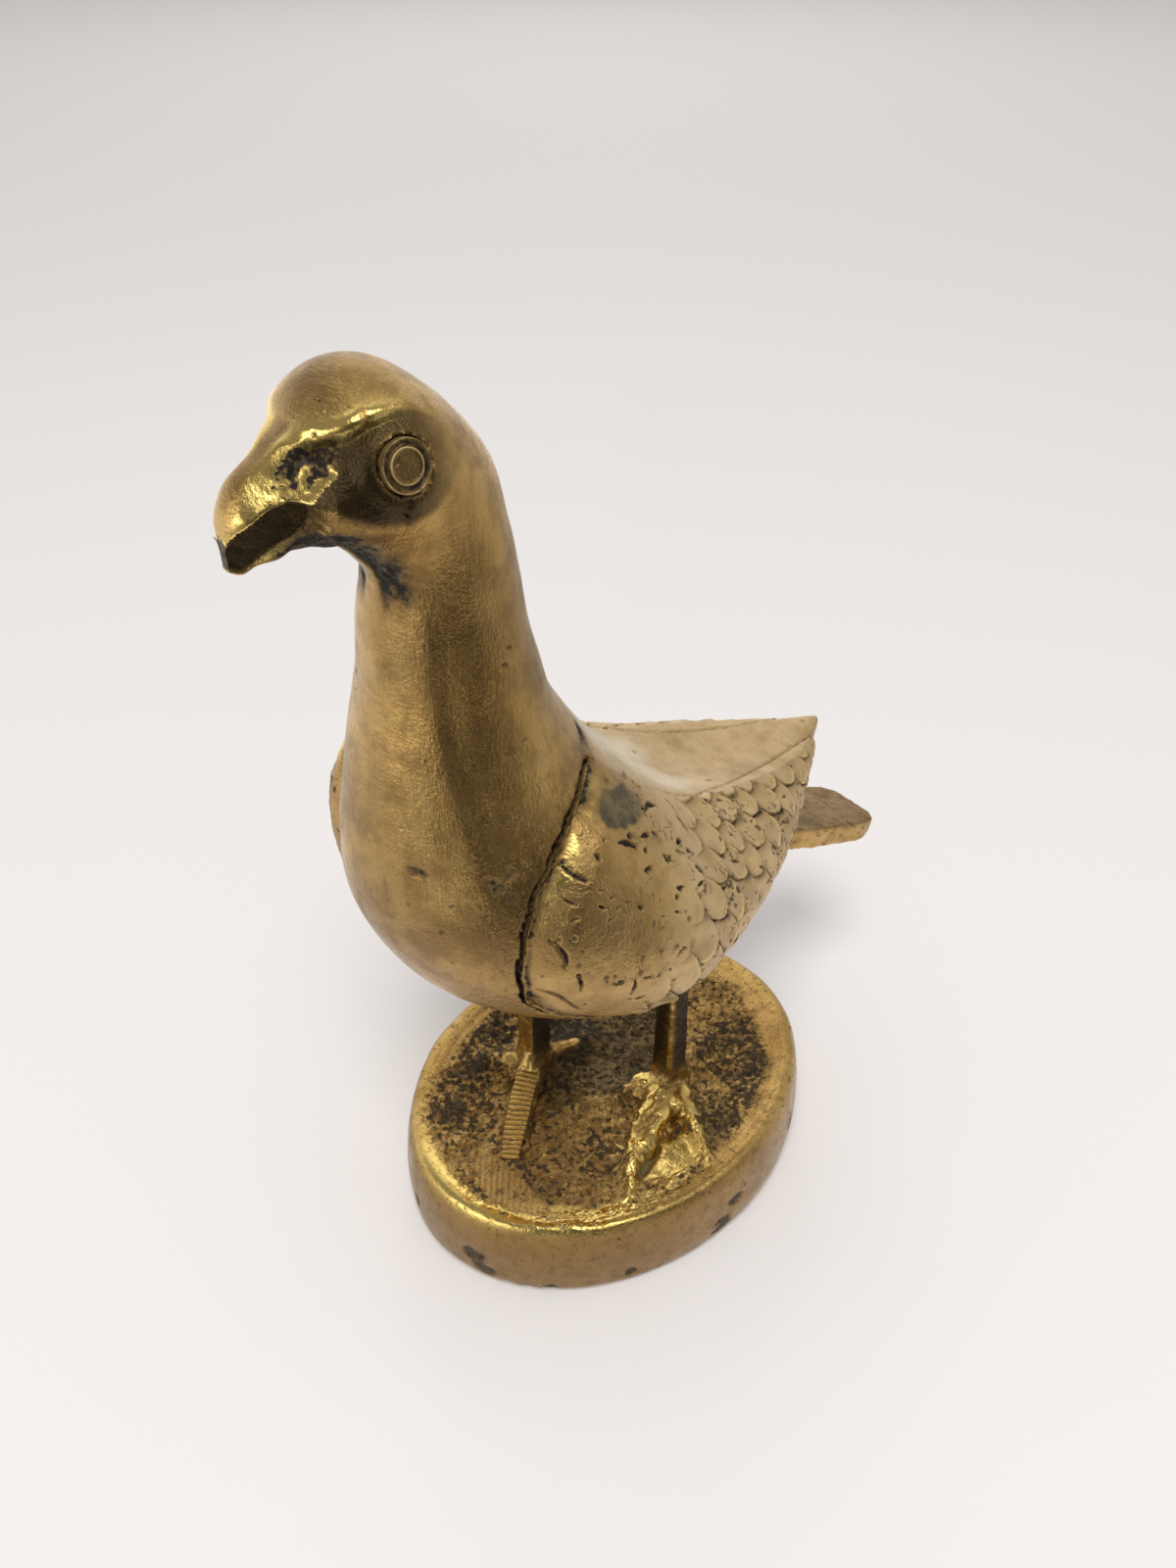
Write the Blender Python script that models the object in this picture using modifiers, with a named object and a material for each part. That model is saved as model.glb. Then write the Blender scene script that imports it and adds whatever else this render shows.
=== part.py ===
"""Brass pigeon figurine standing on an oval base.

Metres, +Z up. The bird faces -Y, its left side is +X, and the origin is the
centre of the base's underside. Pieces that touch keep a 0.3 mm gap.
"""
import math

import bmesh
import bpy
import numpy as np
from mathutils import Matrix, Vector

MM = 0.001
GAP = 0.3                     # clearance between pieces, mm

# base, mm
BASE_HALF_W = 24.0            # across the bird (X)
BASE_HALF_L = 30.5            # along the bird (Y)
BASE_RIM_Z = 13.2             # top of the rolled rim
BASE_FLOOR_Z = 10.4           # dished floor the feet stand on
BASE_SEGMENTS = 72

# legs, mm: foot position on the base, post half sizes
R_LEG = (-8.2, -6.4)
L_LEG = (6.5, 5.6)
LEG_HALF = 1.9
TENON_R = 1.4
TENON_TOP_Z = 45.2
SHOULDER_Z = 42.4             # top of the post, let into the belly

# leg screws, mm
SCREW_R = 1.1
SCREW_HEAD_R = 2.6
SCREW_HEAD_H = 1.9
SCREW_TOP_Z = 16.0

# wings, mm
WING_INNER_X = 9.0            # flat inner face of the wing, front half
WING_INNER_TIP_X = 1.4        # inner face at the wing tip
WING_KINK_Y = 4.0
WING_TIP_Y = 38.0
PEG_R = 1.6
PEG_LEN = 4.0
WING_PEGS = ((-9.0, 62.0), (2.0, 57.0))
# side outline of each wing, (Y, Z): front edge from the neck down to the
# breast, then the lower edge back to the tip. The right wing reaches further
# forward than the left one.
WING_FRONT = {
    "left": ((-9.3, 94.0), (-9.6, 80.0), (-11.0, 78.2), (-14.0, 77.0), (-16.8, 75.4),
             (-19.5, 73.0), (-22.2, 70.0), (-24.0, 65.8), (-24.6, 60.6), (-23.8, 56.0)),
    "right": ((-9.3, 94.0), (-10.0, 80.4), (-13.0, 78.8), (-17.2, 77.4), (-21.0, 75.4),
              (-24.2, 72.6), (-26.8, 69.2), (-28.4, 65.0), (-28.8, 60.6), (-27.8, 56.4)),
}
WING_LOWER = {
    "left": ((-21.4, 52.8), (-17.0, 49.8), (-11.5, 47.6), (-4.0, 46.2), (4.0, 45.4),
             (14.0, 44.8), (24.0, 44.4), (31.0, 44.3), (44.0, 44.3)),
    "right": ((-25.4, 53.0), (-20.6, 50.0), (-14.0, 47.8), (-4.0, 46.2), (4.0, 45.4),
              (14.0, 44.8), (24.0, 44.4), (31.0, 44.3), (44.0, 44.3)),
}
# how far each wing stands out of the flank, section by section from the tip
WING_PROUD = {
    "left": (0.4, 0.5, 0.7, 0.8, 0.9, 1.1, 1.4, 1.5, 1.5, 1.3, 1.0),
    "right": (0.4, 0.5, 0.7, 0.8, 1.0, 1.8, 3.2, 4.8, 5.2, 4.2, 2.4),
}

# eyes, mm
EYE_AT = (7.75, -28.0, 112.6)
EYE_R = 2.15
EYE_DISC_R = 1.45
EYE_DEPTH = 2.6
EYE_AXIS = (0.97, -0.02, 0.22)

# tail plate, mm
TAIL_END = (0.0, 47.8, 34.3)
TAIL_ROOT = (0.0, 28.6, 41.2)
TAIL_THICK = 3.2
TONGUE_LEN = 8.0

# the bird's outside as cross-sections from the wing tips to the beak:
# dorsal point (Y, Z), ventral point (Y, Z), half width, where the width
# peaks (fraction up from the ventral point), half width of the dished back
# as a share of the half width, depth of the dish
SECTIONS = (
    (37.0, 56.5, 29.5, 40.0, 1.0, .60, .40, 0.0),
    (34.0, 58.0, 25.0, 38.5, 3.5, .60, .60, 1.0),
    (27.0, 59.5, 16.5, 37.5, 8.5, .60, .60, 2.0),
    (18.0, 61.5, 5.5, 37.0, 14.0, .60, .50, 2.5),
    (9.5, 64.0, -7.5, 38.5, 18.5, .58, .42, 2.5),
    (4.0, 66.5, -16.5, 42.0, 20.5, .56, .40, 1.5),
    (0.0, 69.5, -24.5, 48.0, 20.0, .53, .40, 0.5),
    (-3.0, 72.5, -29.5, 54.0, 18.5, .51, .40, 0.0),
    (-6.0, 76.0, -32.5, 61.5, 16.0, .50, .45, 0.0),
    (-9.0, 80.5, -33.0, 69.0, 13.0, .50, .50, 0.0),
    (-11.5, 85.0, -32.0, 76.0, 11.0, .50, .50, 0.0),
    (-12.5, 89.5, -31.0, 82.0, 9.5, .50, .50, 0.0),
    (-13.5, 94.0, -29.5, 88.0, 8.5, .50, .50, 0.0),
    (-14.0, 99.0, -29.0, 94.0, 7.5, .50, .50, 0.0),
    (-15.0, 104.0, -28.0, 99.5, 7.0, .50, .50, 0.0),
    (-16.0, 108.5, -29.5, 102.5, 7.0, .50, .50, 0.0),
    (-18.5, 112.5, -31.5, 104.5, 7.5, .50, .50, 0.0),
    (-22.0, 116.0, -33.0, 105.0, 8.0, .50, .50, 0.0),
    (-26.0, 118.5, -34.5, 105.5, 7.5, .50, .50, 0.0),
    (-30.0, 118.5, -35.5, 105.5, 6.5, .50, .50, 0.0),
    (-33.5, 116.0, -36.0, 105.5, 5.0, .50, .50, 0.0),
    (-36.0, 113.5, -37.0, 105.0, 4.0, .50, .50, 0.0),
    (-38.5, 112.0, -38.5, 105.0, 3.0, .50, .50, 0.0),
    (-40.0, 110.0, -39.5, 104.5, 2.0, .50, .50, 0.0),
    (-40.5, 108.0, -40.5, 105.0, 1.5, .50, .50, 0.0),
)
STEPS = 2                     # rings per section interval
RING = (14, 5, 8)             # points under, on each upper flank, on the back


for ob in list(bpy.data.objects):
    bpy.data.objects.remove(ob, do_unlink=True)

PARTS = bpy.data.collections.new("brass_pigeon_figurine")
CUTS = bpy.data.collections.new("cutters")
for col in (PARTS, CUTS):
    bpy.context.scene.collection.children.link(col)
CUTS.hide_render = True


def brass(name, color, rough):
    mat = bpy.data.materials.new(name)
    mat.use_nodes = True
    bsdf = mat.node_tree.nodes["Principled BSDF"]
    bsdf.inputs["Base Color"].default_value = (*color, 1.0)
    bsdf.inputs["Metallic"].default_value = 1.0
    bsdf.inputs["Roughness"].default_value = rough
    return mat


def make(name, bm, mat=None, smooth=True):
    """A named object from a bmesh given in millimetres."""
    bmesh.ops.scale(bm, vec=(MM, MM, MM), verts=bm.verts)
    bmesh.ops.recalc_face_normals(bm, faces=bm.faces)
    me = bpy.data.meshes.new(name)
    bm.to_mesh(me)
    bm.free()
    ob = bpy.data.objects.new(name, me)
    if mat is None:
        CUTS.objects.link(ob)
        ob.display_type = 'WIRE'
        ob.hide_render = True
    else:
        PARTS.objects.link(ob)
        me.materials.append(mat)
    for p in me.polygons:
        p.use_smooth = smooth
    return ob


def boolean(ob, other, op):
    m = ob.modifiers.new(other.name, 'BOOLEAN')
    m.operation = op
    m.solver = 'EXACT'
    m.object = other
    return m


def spline(rows, k):
    """Smooth rows of numbers through the given rows, k steps apart."""
    p = np.asarray(rows, float)
    q = np.vstack([2 * p[0] - p[1], p, 2 * p[-1] - p[-2]])
    out = []
    for i in range(len(p) - 1):
        a, b, c, d = q[i:i + 4]
        for j in range(k):
            t = j / k
            out.append(0.5 * (2 * b + (c - a) * t + (2 * a - 5 * b + 4 * c - d) * t * t
                              + (3 * b - a - 3 * c + d) * t ** 3))
    out.append(p[-1])
    return np.array(out)


def section_ring(row):
    dy, dz, vy, vz, w, peak, back, dish = row
    under, flank, top = RING
    t = math.acos(min(max(back, 0.0), 0.98))
    th = np.concatenate([
        np.linspace(-math.pi, 0, under, endpoint=False),
        np.linspace(0, t, flank, endpoint=False),
        np.linspace(t, math.pi - t, top, endpoint=False),
        np.linspace(math.pi - t, math.pi, flank, endpoint=False)])
    c, s = np.cos(th), np.sin(th)
    up = np.array([dy - vy, dz - vz])
    h = peak + np.where(s >= 0, 1 - peak, peak) * s
    sag = dish * np.clip(1 - (c / max(back, 1e-3)) ** 2, 0, None) * (s > 0)
    yz = np.array([vy, vz]) + np.outer(h, up) - np.outer(sag, up / np.linalg.norm(up))
    return [(w * ci, p[0], p[1]) for ci, p in zip(c, yz)]


def loft(rings):
    """A closed bmesh skinned over rings of equal length."""
    bm = bmesh.new()
    vr = [[bm.verts.new(p) for p in r] for r in rings]
    n = len(vr[0])
    for a, b in zip(vr, vr[1:]):
        for j in range(n):
            bm.faces.new((a[j], a[(j + 1) % n], b[(j + 1) % n], b[j]))
    for r in (vr[0], vr[-1]):
        mid = bm.verts.new(sum((v.co for v in r), Vector()) / n)
        for j in range(n):
            bm.faces.new((mid, r[j], r[(j + 1) % n]))
    return bm


def bird(proud=()):
    """The whole bird's outside, widened section by section from the tip."""
    rows = np.array(SECTIONS)
    rows[:len(proud), 4] += proud
    return loft([section_ring(r) for r in spline(rows, STEPS)])


def cylinder(at, axis, r, length, n=24, r2=None):
    """A cylinder or cone from at, along axis."""
    bm = bmesh.new()
    bmesh.ops.create_cone(bm, cap_ends=True, segments=n, radius1=r,
                          radius2=r if r2 is None else r2, depth=length)
    turn = Vector((0, 0, 1)).rotation_difference(Vector(axis).normalized()).to_matrix().to_4x4()
    bmesh.ops.transform(bm, matrix=Matrix.Translation(Vector(at)) @ turn
                        @ Matrix.Translation((0, 0, length / 2)), verts=bm.verts)
    return bm


def block(lo, hi):
    bm = bmesh.new()
    bmesh.ops.create_cube(bm, size=1.0)
    size = [h - l for l, h in zip(lo, hi)]
    mid = [(h + l) / 2 for l, h in zip(lo, hi)]
    bmesh.ops.scale(bm, vec=size, verts=bm.verts)
    bmesh.ops.translate(bm, vec=mid, verts=bm.verts)
    return bm


def limb(path, widths, heights, n=12):
    """A flat-bottomed toe skinned along a path of floor points."""
    rings = []
    pts = [Vector(p) for p in path]
    for i, p in enumerate(pts):
        d = (pts[min(i + 1, len(pts) - 1)] - pts[max(i - 1, 0)])
        d.z = 0
        side = Vector((-d.y, d.x, 0)).normalized()
        ring = []
        for j in range(n):
            a = 2 * math.pi * j / n
            z = math.sin(a)
            ring.append(p + side * widths[i] * math.cos(a)
                        + Vector((0, 0, heights[i] * (z if z > 0 else 0.12 * z))))
        rings.append(ring)
    return loft(rings)


def outline_prism(side, grow):
    """A wing's side outline, extruded outwards from its inner face towards +X."""
    poly = list(WING_FRONT[side]) + list(WING_LOWER[side]) + [(44.0, 94.0)]
    out = []
    for i, p in enumerate(poly):
        a, b = poly[i - 1], poly[(i + 1) % len(poly)]
        t = Vector((b[0] - a[0], b[1] - a[1])).normalized()
        out.append((p[0] - t.y * grow, p[1] + t.x * grow) if grow else p)
    if grow:
        # keep the offset pointing outwards
        area = sum(p[0] * q[1] - q[0] * p[1] for p, q in zip(poly, poly[1:] + poly[:1]))
        if area > 0:
            out = [(2 * p[0] - q[0], 2 * p[1] - q[1]) for p, q in zip(poly, out)]
    slope = (WING_INNER_TIP_X - WING_INNER_X) / (WING_TIP_Y - WING_KINK_Y)

    def inner(y):
        x = WING_INNER_X + (slope * (y - WING_KINK_Y) if y > WING_KINK_Y else 0.0)
        return x - grow

    # split the outline's lower and upper edges at the kink
    pts = []
    for p, q in zip(out, out[1:] + out[:1]):
        pts.append(p)
        if (p[0] - WING_KINK_Y) * (q[0] - WING_KINK_Y) < 0:
            f = (WING_KINK_Y - p[0]) / (q[0] - p[0])
            pts.append((WING_KINK_Y, p[1] + f * (q[1] - p[1])))
    bm = bmesh.new()
    far = [bm.verts.new((45.0, y, z)) for y, z in pts]
    near = [bm.verts.new((inner(y), y, z)) for y, z in pts]
    n = len(pts)
    for i in range(n):
        bm.faces.new((far[i], far[(i + 1) % n], near[(i + 1) % n], near[i]))
    bm.faces.new(far)
    kink = [i for i, p in enumerate(pts) if abs(p[0] - WING_KINK_Y) < 1e-9]
    i, j = kink[0], kink[1]
    bm.faces.new(near[i:j + 1])
    bm.faces.new(near[j:] + near[:i + 1])
    return bm


def mirrored(bm):
    bmesh.ops.scale(bm, vec=(-1, 1, 1), verts=bm.verts)
    bmesh.ops.reverse_faces(bm, faces=bm.faces)
    return bm


# ---------------------------------------------------------------- body
GOLD = (0.62, 0.43, 0.16)
body = make("body", bird(), brass("body", GOLD, 0.32))

# ---------------------------------------------------------------- wings
slope = (WING_INNER_TIP_X - WING_INNER_X) / (WING_TIP_Y - WING_KINK_Y)
wings = {}
for side, sign in (("left", 1), ("right", -1)):
    def sided(bm):
        return bm if sign > 0 else mirrored(bm)
    wing = make(side + "_wing", sided(bird(WING_PROUD[side])), brass(side + "_wing", (0.64, 0.46, 0.20), 0.36))
    boolean(wing, make(side + "_wing_outline", sided(outline_prism(side, 0.0))), 'INTERSECT')
    boolean(body, make(side + "_wing_pocket", sided(outline_prism(side, GAP))), 'DIFFERENCE')
    for i, (y, z) in enumerate(WING_PEGS):
        at = (WING_INNER_X + 2.0, y, z)
        boolean(wing, make(f"{side}_wing_peg_{i + 1}", sided(cylinder(at, (-1, 0, 0), PEG_R, PEG_LEN + 2.0))), 'UNION')
        boolean(body, make(f"{side}_peg_socket_{i + 1}", sided(cylinder(at, (-1, 0, 0), PEG_R + GAP, PEG_LEN + 2.0 + GAP))), 'DIFFERENCE')
    wings[side] = wing

# ---------------------------------------------------------------- tail
end, root = Vector(TAIL_END), Vector(TAIL_ROOT)
along = (end - root).normalized()
thick = Vector((1, 0, 0)).cross(along)
tongue = root - along * TONGUE_LEN


def tail_plate(grow):
    """Blunt plate that narrows to a tongue at its root."""
    half = TAIL_THICK / 2 + grow
    plan = [(tongue - along * grow, 2.2 + grow), (root - along * 0.01, 2.2 + grow), (root - along * grow, 3.6 + grow),
            (root + along * 6.0, 4.8 + grow), (end - along * 4.0, 5.6 + grow),
            (end - along * 1.4, 5.0 + grow), (end + along * grow, 3.4 + grow)]
    if grow:
        plan[1] = (root - along * (grow + 0.01), 2.2 + grow)
    rings = []
    for p, w in plan:
        rings.append([p + Vector((sx * w, 0, 0)) + thick * (sz * half)
                      for sx, sz in ((-1, -1), (1, -1), (1, 1), (-1, 1))])
    bm = bmesh.new()
    vr = [[bm.verts.new(p) for p in r] for r in rings]
    for a, b in zip(vr, vr[1:]):
        for j in range(4):
            bm.faces.new((a[j], a[(j + 1) % 4], b[(j + 1) % 4], b[j]))
    bm.faces.new(vr[0])
    bm.faces.new(vr[-1])
    return bm


tail = make("tail", tail_plate(0.0), brass("tail", (0.58, 0.42, 0.18), 0.38), smooth=False)
bev = tail.modifiers.new("rounded edges", 'BEVEL')
bev.width = 0.5 * MM
bev.segments = 2
bev.limit_method = 'ANGLE'
bev.angle_limit = math.radians(50)
slot = make("tail_slot", tail_plate(GAP))
boolean(body, slot, 'DIFFERENCE')
for w in wings.values():
    boolean(w, slot, 'DIFFERENCE')

# ---------------------------------------------------------------- eyes
for side, sign in (("left", 1), ("right", -1)):
    axis = Vector((EYE_AXIS[0] * sign, EYE_AXIS[1], EYE_AXIS[2])).normalized()
    at = Vector((EYE_AT[0] * sign, EYE_AT[1], EYE_AT[2]))
    # turned stud: raised ring, groove, low domed disc
    prof = [(0.0, 0.32), (0.7, 0.26), (1.2, 0.10), (EYE_DISC_R, -0.15), (EYE_DISC_R + 0.08, -0.35),
            (EYE_DISC_R + 0.26, -0.35), (EYE_DISC_R + 0.32, 0.12), (EYE_R - 0.12, 0.16), (EYE_R, 0.0),
            (EYE_R, -EYE_DEPTH), (0.0, -EYE_DEPTH)]
    bm = bmesh.new()
    vs = [bm.verts.new((x, 0, z)) for x, z in prof]
    for a, b in zip(vs, vs[1:]):
        bm.edges.new((a, b))
    eye = make(side + "_eye", bm, brass(side + "_eye", (0.60, 0.43, 0.18), 0.34))
    scr = eye.modifiers.new("turned", 'SCREW')
    scr.steps = scr.render_steps = 28
    scr.use_merge_vertices = True
    scr.merge_threshold = 0.00001
    turn = Vector((0, 0, 1)).rotation_difference(axis).to_matrix().to_4x4()
    eye.matrix_world = Matrix.Translation(at * MM) @ turn
    hole = at - axis * (EYE_DEPTH + GAP)
    boolean(body, make(side + "_eye_socket", cylinder(hole, axis, EYE_R + GAP, EYE_DEPTH + GAP + 4.0, 28)), 'DIFFERENCE')

# ---------------------------------------------------------------- base
prof = [(0.0, BASE_FLOOR_Z), (17.0, BASE_FLOOR_Z), (19.2, BASE_FLOOR_Z + 0.5), (20.6, BASE_FLOOR_Z + 1.7),
        (21.6, BASE_RIM_Z - 0.2), (22.4, BASE_RIM_Z), (23.0, BASE_RIM_Z - 0.4), (23.5, BASE_RIM_Z - 1.8),
        (BASE_HALF_W - 0.1, 8.0), (BASE_HALF_W, 4.5), (BASE_HALF_W - 0.2, 1.6), (BASE_HALF_W - 0.8, 0.4),
        (BASE_HALF_W - 1.8, 0.0), (0.0, 0.0)]
bm = bmesh.new()
vs = [bm.verts.new((x, 0, z)) for x, z in prof]
for a, b in zip(vs, vs[1:]):
    bm.edges.new((a, b))
base = make("base", bm, brass("base", (0.55, 0.39, 0.15), 0.42))
scr = base.modifiers.new("turned", 'SCREW')
scr.steps = scr.render_steps = BASE_SEGMENTS
scr.use_merge_vertices = True
scr.merge_threshold = 0.00001
base.scale = (1.0, BASE_HALF_L / BASE_HALF_W, 1.0)

# ---------------------------------------------------------------- legs
FOOT_Z = BASE_FLOOR_Z + GAP
TOES = {
    "right": [((-8.0, -6.8), (-4.6, -11.2), (-1.2, -15.4), (2.2, -19.2), (2.0, 1.9, 1.7, 1.3), (5.0, 4.2, 3.2, 1.6)),
              ((-8.2, -6.0), (-10.2, -8.8), (-11.6, -10.8), (-12.4, -12.0), (1.9, 1.7, 1.3, 0.8), (2.6, 2.3, 1.8, 1.0)),
              ((-8.2, -6.6), (-7.6, -3.0), (-7.0, -0.4), (-6.6, 1.6), (1.8, 1.6, 1.3, 0.8), (3.2, 2.6, 1.8, 1.0))],
    "left": [((6.6, 5.2), (9.4, 0.6), (12.0, -4.4), (14.0, -8.2), (2.5, 2.4, 2.1, 1.2), (4.0, 3.4, 2.8, 1.5)),
             ((6.7, 5.4), (10.2, 4.2), (13.2, 3.0), (15.2, 2.2), (2.3, 2.1, 1.8, 1.0), (3.4, 2.8, 2.2, 1.2)),
             ((6.4, 5.6), (5.2, 1.6), (4.4, -1.6), (3.8, -4.0), (2.2, 2.0, 1.7, 1.1), (2.8, 2.4, 1.9, 1.1)),
             ((6.5, 5.2), (6.0, 8.8), (5.6, 11.4), (5.3, 13.4), (1.7, 1.5, 1.2, 0.8), (2.8, 2.2, 1.7, 0.9))],
}

for side, (lx, ly) in (("right", R_LEG), ("left", L_LEG)):
    # squared post that thickens towards the foot
    def post(levels):
        rings = []
        for z, h, square in levels:
            ring = []
            for j in range(16):
                a = 2 * math.pi * (j + 0.5) / 16
                c, s = math.cos(a), math.sin(a)
                ring.append((lx + h * math.copysign(abs(c) ** square, c), ly + h * math.copysign(abs(s) ** square, s), z))
            rings.append(ring)
        return loft(rings)
    rings = post(((FOOT_Z, LEG_HALF + 0.7, 0.6), (FOOT_Z + 2.4, LEG_HALF + 0.6, 0.6), (FOOT_Z + 5.4, LEG_HALF + 0.1, 0.6),
                  (SHOULDER_Z - 8, LEG_HALF - 0.1, 0.6), (SHOULDER_Z, LEG_HALF + 0.2, 0.6),
                  (SHOULDER_Z, TENON_R, 1.0), (TENON_TOP_Z, TENON_R, 1.0)))
    leg = make(side + "_leg", rings, brass(side + "_leg", (0.56, 0.40, 0.16), 0.40))
    for i, toe in enumerate(TOES[side]):
        path = [(x, y, FOOT_Z + 0.12 * h + 0.04 * (i + 1)) for (x, y), h in zip(toe[:4], toe[5])]
        boolean(leg, make(f"{side}_toe_{i + 1}", limb(path, toe[4], toe[5])), 'UNION')
    # stepped pocket in the belly for the post's end and its tenon
    seat = LEG_HALF + 0.2 + GAP
    boolean(body, make(side + "_leg_seat", post(((SHOULDER_Z - 14, seat, 0.6), (SHOULDER_Z + GAP, seat, 0.6),
                                                 (SHOULDER_Z + GAP, TENON_R + GAP, 1.0), (TENON_TOP_Z + GAP, TENON_R + GAP, 1.0)))), 'DIFFERENCE')
    boolean(leg, make(side + "_screw_bore", cylinder((lx, ly, FOOT_Z - 2), (0, 0, 1), SCREW_R + GAP, SCREW_TOP_Z - FOOT_Z + 2 + GAP)), 'DIFFERENCE')

    # countersunk slotted screw from under the base
    prof = [(0.0, SCREW_TOP_Z), (SCREW_R - 0.5, SCREW_TOP_Z), (SCREW_R, SCREW_TOP_Z - 0.6), (SCREW_R, SCREW_HEAD_H + 0.6),
            (SCREW_HEAD_R, 0.9), (SCREW_HEAD_R, 0.6), (0.0, 0.6)]
    bm = bmesh.new()
    vs = [bm.verts.new((x, 0, z)) for x, z in prof]
    for a, b in zip(vs, vs[1:]):
        bm.edges.new((a, b))
    screw = make(side + "_leg_screw", bm, brass(side + "_leg_screw", (0.60, 0.45, 0.20), 0.35))
    scr = screw.modifiers.new("turned", 'SCREW')
    scr.steps = scr.render_steps = 24
    scr.use_merge_vertices = True
    scr.merge_threshold = 0.00001
    screw.location = (lx * MM, ly * MM, 0)
    boolean(screw, make(side + "_screw_slot", block((lx - 4, ly - 0.4, -1), (lx + 4, ly + 0.4, 1.5))), 'DIFFERENCE')
    boolean(base, make(side + "_screw_hole", cylinder((lx, ly, -1), (0, 0, 1), SCREW_R + GAP, BASE_FLOOR_Z + 4)), 'DIFFERENCE')
    # countersink follows the head with the same gap
    sink = loft([[(lx + r * math.cos(2 * math.pi * j / 32), ly + r * math.sin(2 * math.pi * j / 32), z) for j in range(32)]
                 for r, z in ((SCREW_HEAD_R + GAP, -1.0), (SCREW_HEAD_R + GAP, 1.0), (SCREW_R + GAP - 0.1, SCREW_HEAD_H + 0.85))])
    boolean(base, make(side + "_countersink", sink), 'DIFFERENCE')
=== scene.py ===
"""Looks of the brass pigeon figurine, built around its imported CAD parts.

Every visible node is rebuilt as a fine cast surface: the CAD node is remeshed,
laid on the smooth skin of the bird, and then worked the way the casting was:
filed, punched, pitted, worn and dirty. Lengths below are in millimetres.
"""
import math

import bmesh
import bpy
import numpy as np
from mathutils import Matrix, Vector
from mathutils.bvhtree import BVHTree


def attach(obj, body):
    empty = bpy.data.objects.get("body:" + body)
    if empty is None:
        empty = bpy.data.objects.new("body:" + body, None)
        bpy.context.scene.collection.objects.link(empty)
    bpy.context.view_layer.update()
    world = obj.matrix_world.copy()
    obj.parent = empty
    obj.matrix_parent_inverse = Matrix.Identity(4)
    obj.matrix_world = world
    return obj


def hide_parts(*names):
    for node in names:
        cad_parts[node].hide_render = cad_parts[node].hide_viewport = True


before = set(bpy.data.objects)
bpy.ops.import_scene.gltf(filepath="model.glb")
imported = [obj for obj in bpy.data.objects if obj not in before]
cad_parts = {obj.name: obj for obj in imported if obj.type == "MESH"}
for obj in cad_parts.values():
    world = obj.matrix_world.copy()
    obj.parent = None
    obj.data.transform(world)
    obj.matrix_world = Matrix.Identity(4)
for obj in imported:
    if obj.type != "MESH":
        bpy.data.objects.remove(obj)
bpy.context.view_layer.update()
MM = 0.001

# ------------------------------------------------------------------ numbers
SECTIONS = (
    (37.0, 56.5, 29.5, 40.0, 1.0, .60, .40, 0.0),
    (34.0, 58.0, 25.0, 38.5, 3.5, .60, .60, 1.0),
    (27.0, 59.5, 16.5, 37.5, 8.5, .60, .60, 2.0),
    (18.0, 61.5, 5.5, 37.0, 14.0, .60, .50, 2.5),
    (9.5, 64.0, -7.5, 38.5, 18.5, .58, .42, 2.5),
    (4.0, 66.5, -16.5, 42.0, 20.5, .56, .40, 1.5),
    (0.0, 69.5, -24.5, 48.0, 20.0, .53, .40, 0.5),
    (-3.0, 72.5, -29.5, 54.0, 18.5, .51, .40, 0.0),
    (-6.0, 76.0, -32.5, 61.5, 16.0, .50, .45, 0.0),
    (-9.0, 80.5, -33.0, 69.0, 13.0, .50, .50, 0.0),
    (-11.5, 85.0, -32.0, 76.0, 11.0, .50, .50, 0.0),
    (-12.5, 89.5, -31.0, 82.0, 9.5, .50, .50, 0.0),
    (-13.5, 94.0, -29.5, 88.0, 8.5, .50, .50, 0.0),
    (-14.0, 99.0, -29.0, 94.0, 7.5, .50, .50, 0.0),
    (-15.0, 104.0, -28.0, 99.5, 7.0, .50, .50, 0.0),
    (-16.0, 108.5, -29.5, 102.5, 7.0, .50, .50, 0.0),
    (-18.5, 112.5, -31.5, 104.5, 7.5, .50, .50, 0.0),
    (-22.0, 116.0, -33.0, 105.0, 8.0, .50, .50, 0.0),
    (-26.0, 118.5, -34.5, 105.5, 7.5, .50, .50, 0.0),
    (-30.0, 118.5, -35.5, 105.5, 6.5, .50, .50, 0.0),
    (-33.5, 116.0, -36.0, 105.5, 5.0, .50, .50, 0.0),
    (-36.0, 113.5, -37.0, 105.0, 4.0, .50, .50, 0.0),
    (-38.5, 112.0, -38.5, 105.0, 3.0, .50, .50, 0.0),
    (-40.0, 110.0, -39.5, 104.5, 2.0, .50, .50, 0.0),
    (-40.5, 108.0, -40.5, 105.0, 1.5, .50, .50, 0.0),
)
WING_PROUD = {
    "left": (0.4, 0.5, 0.7, 0.8, 0.9, 1.1, 1.4, 1.5, 1.5, 1.3, 1.0),
    "right": (0.4, 0.5, 0.7, 0.8, 1.0, 1.8, 3.2, 4.8, 5.2, 4.2, 2.4),
}
WING_FRONT = {
    "left": ((-9.6, 80.0), (-11.0, 78.2), (-14.0, 77.0), (-16.8, 75.4),
             (-19.5, 73.0), (-22.2, 70.0), (-24.0, 65.8), (-24.6, 60.6), (-23.8, 56.0)),
    "right": ((-10.0, 80.4), (-13.0, 78.8), (-17.2, 77.4), (-21.0, 75.4),
              (-24.2, 72.6), (-26.8, 69.2), (-28.4, 65.0), (-28.8, 60.6), (-27.8, 56.4)),
}
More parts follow.
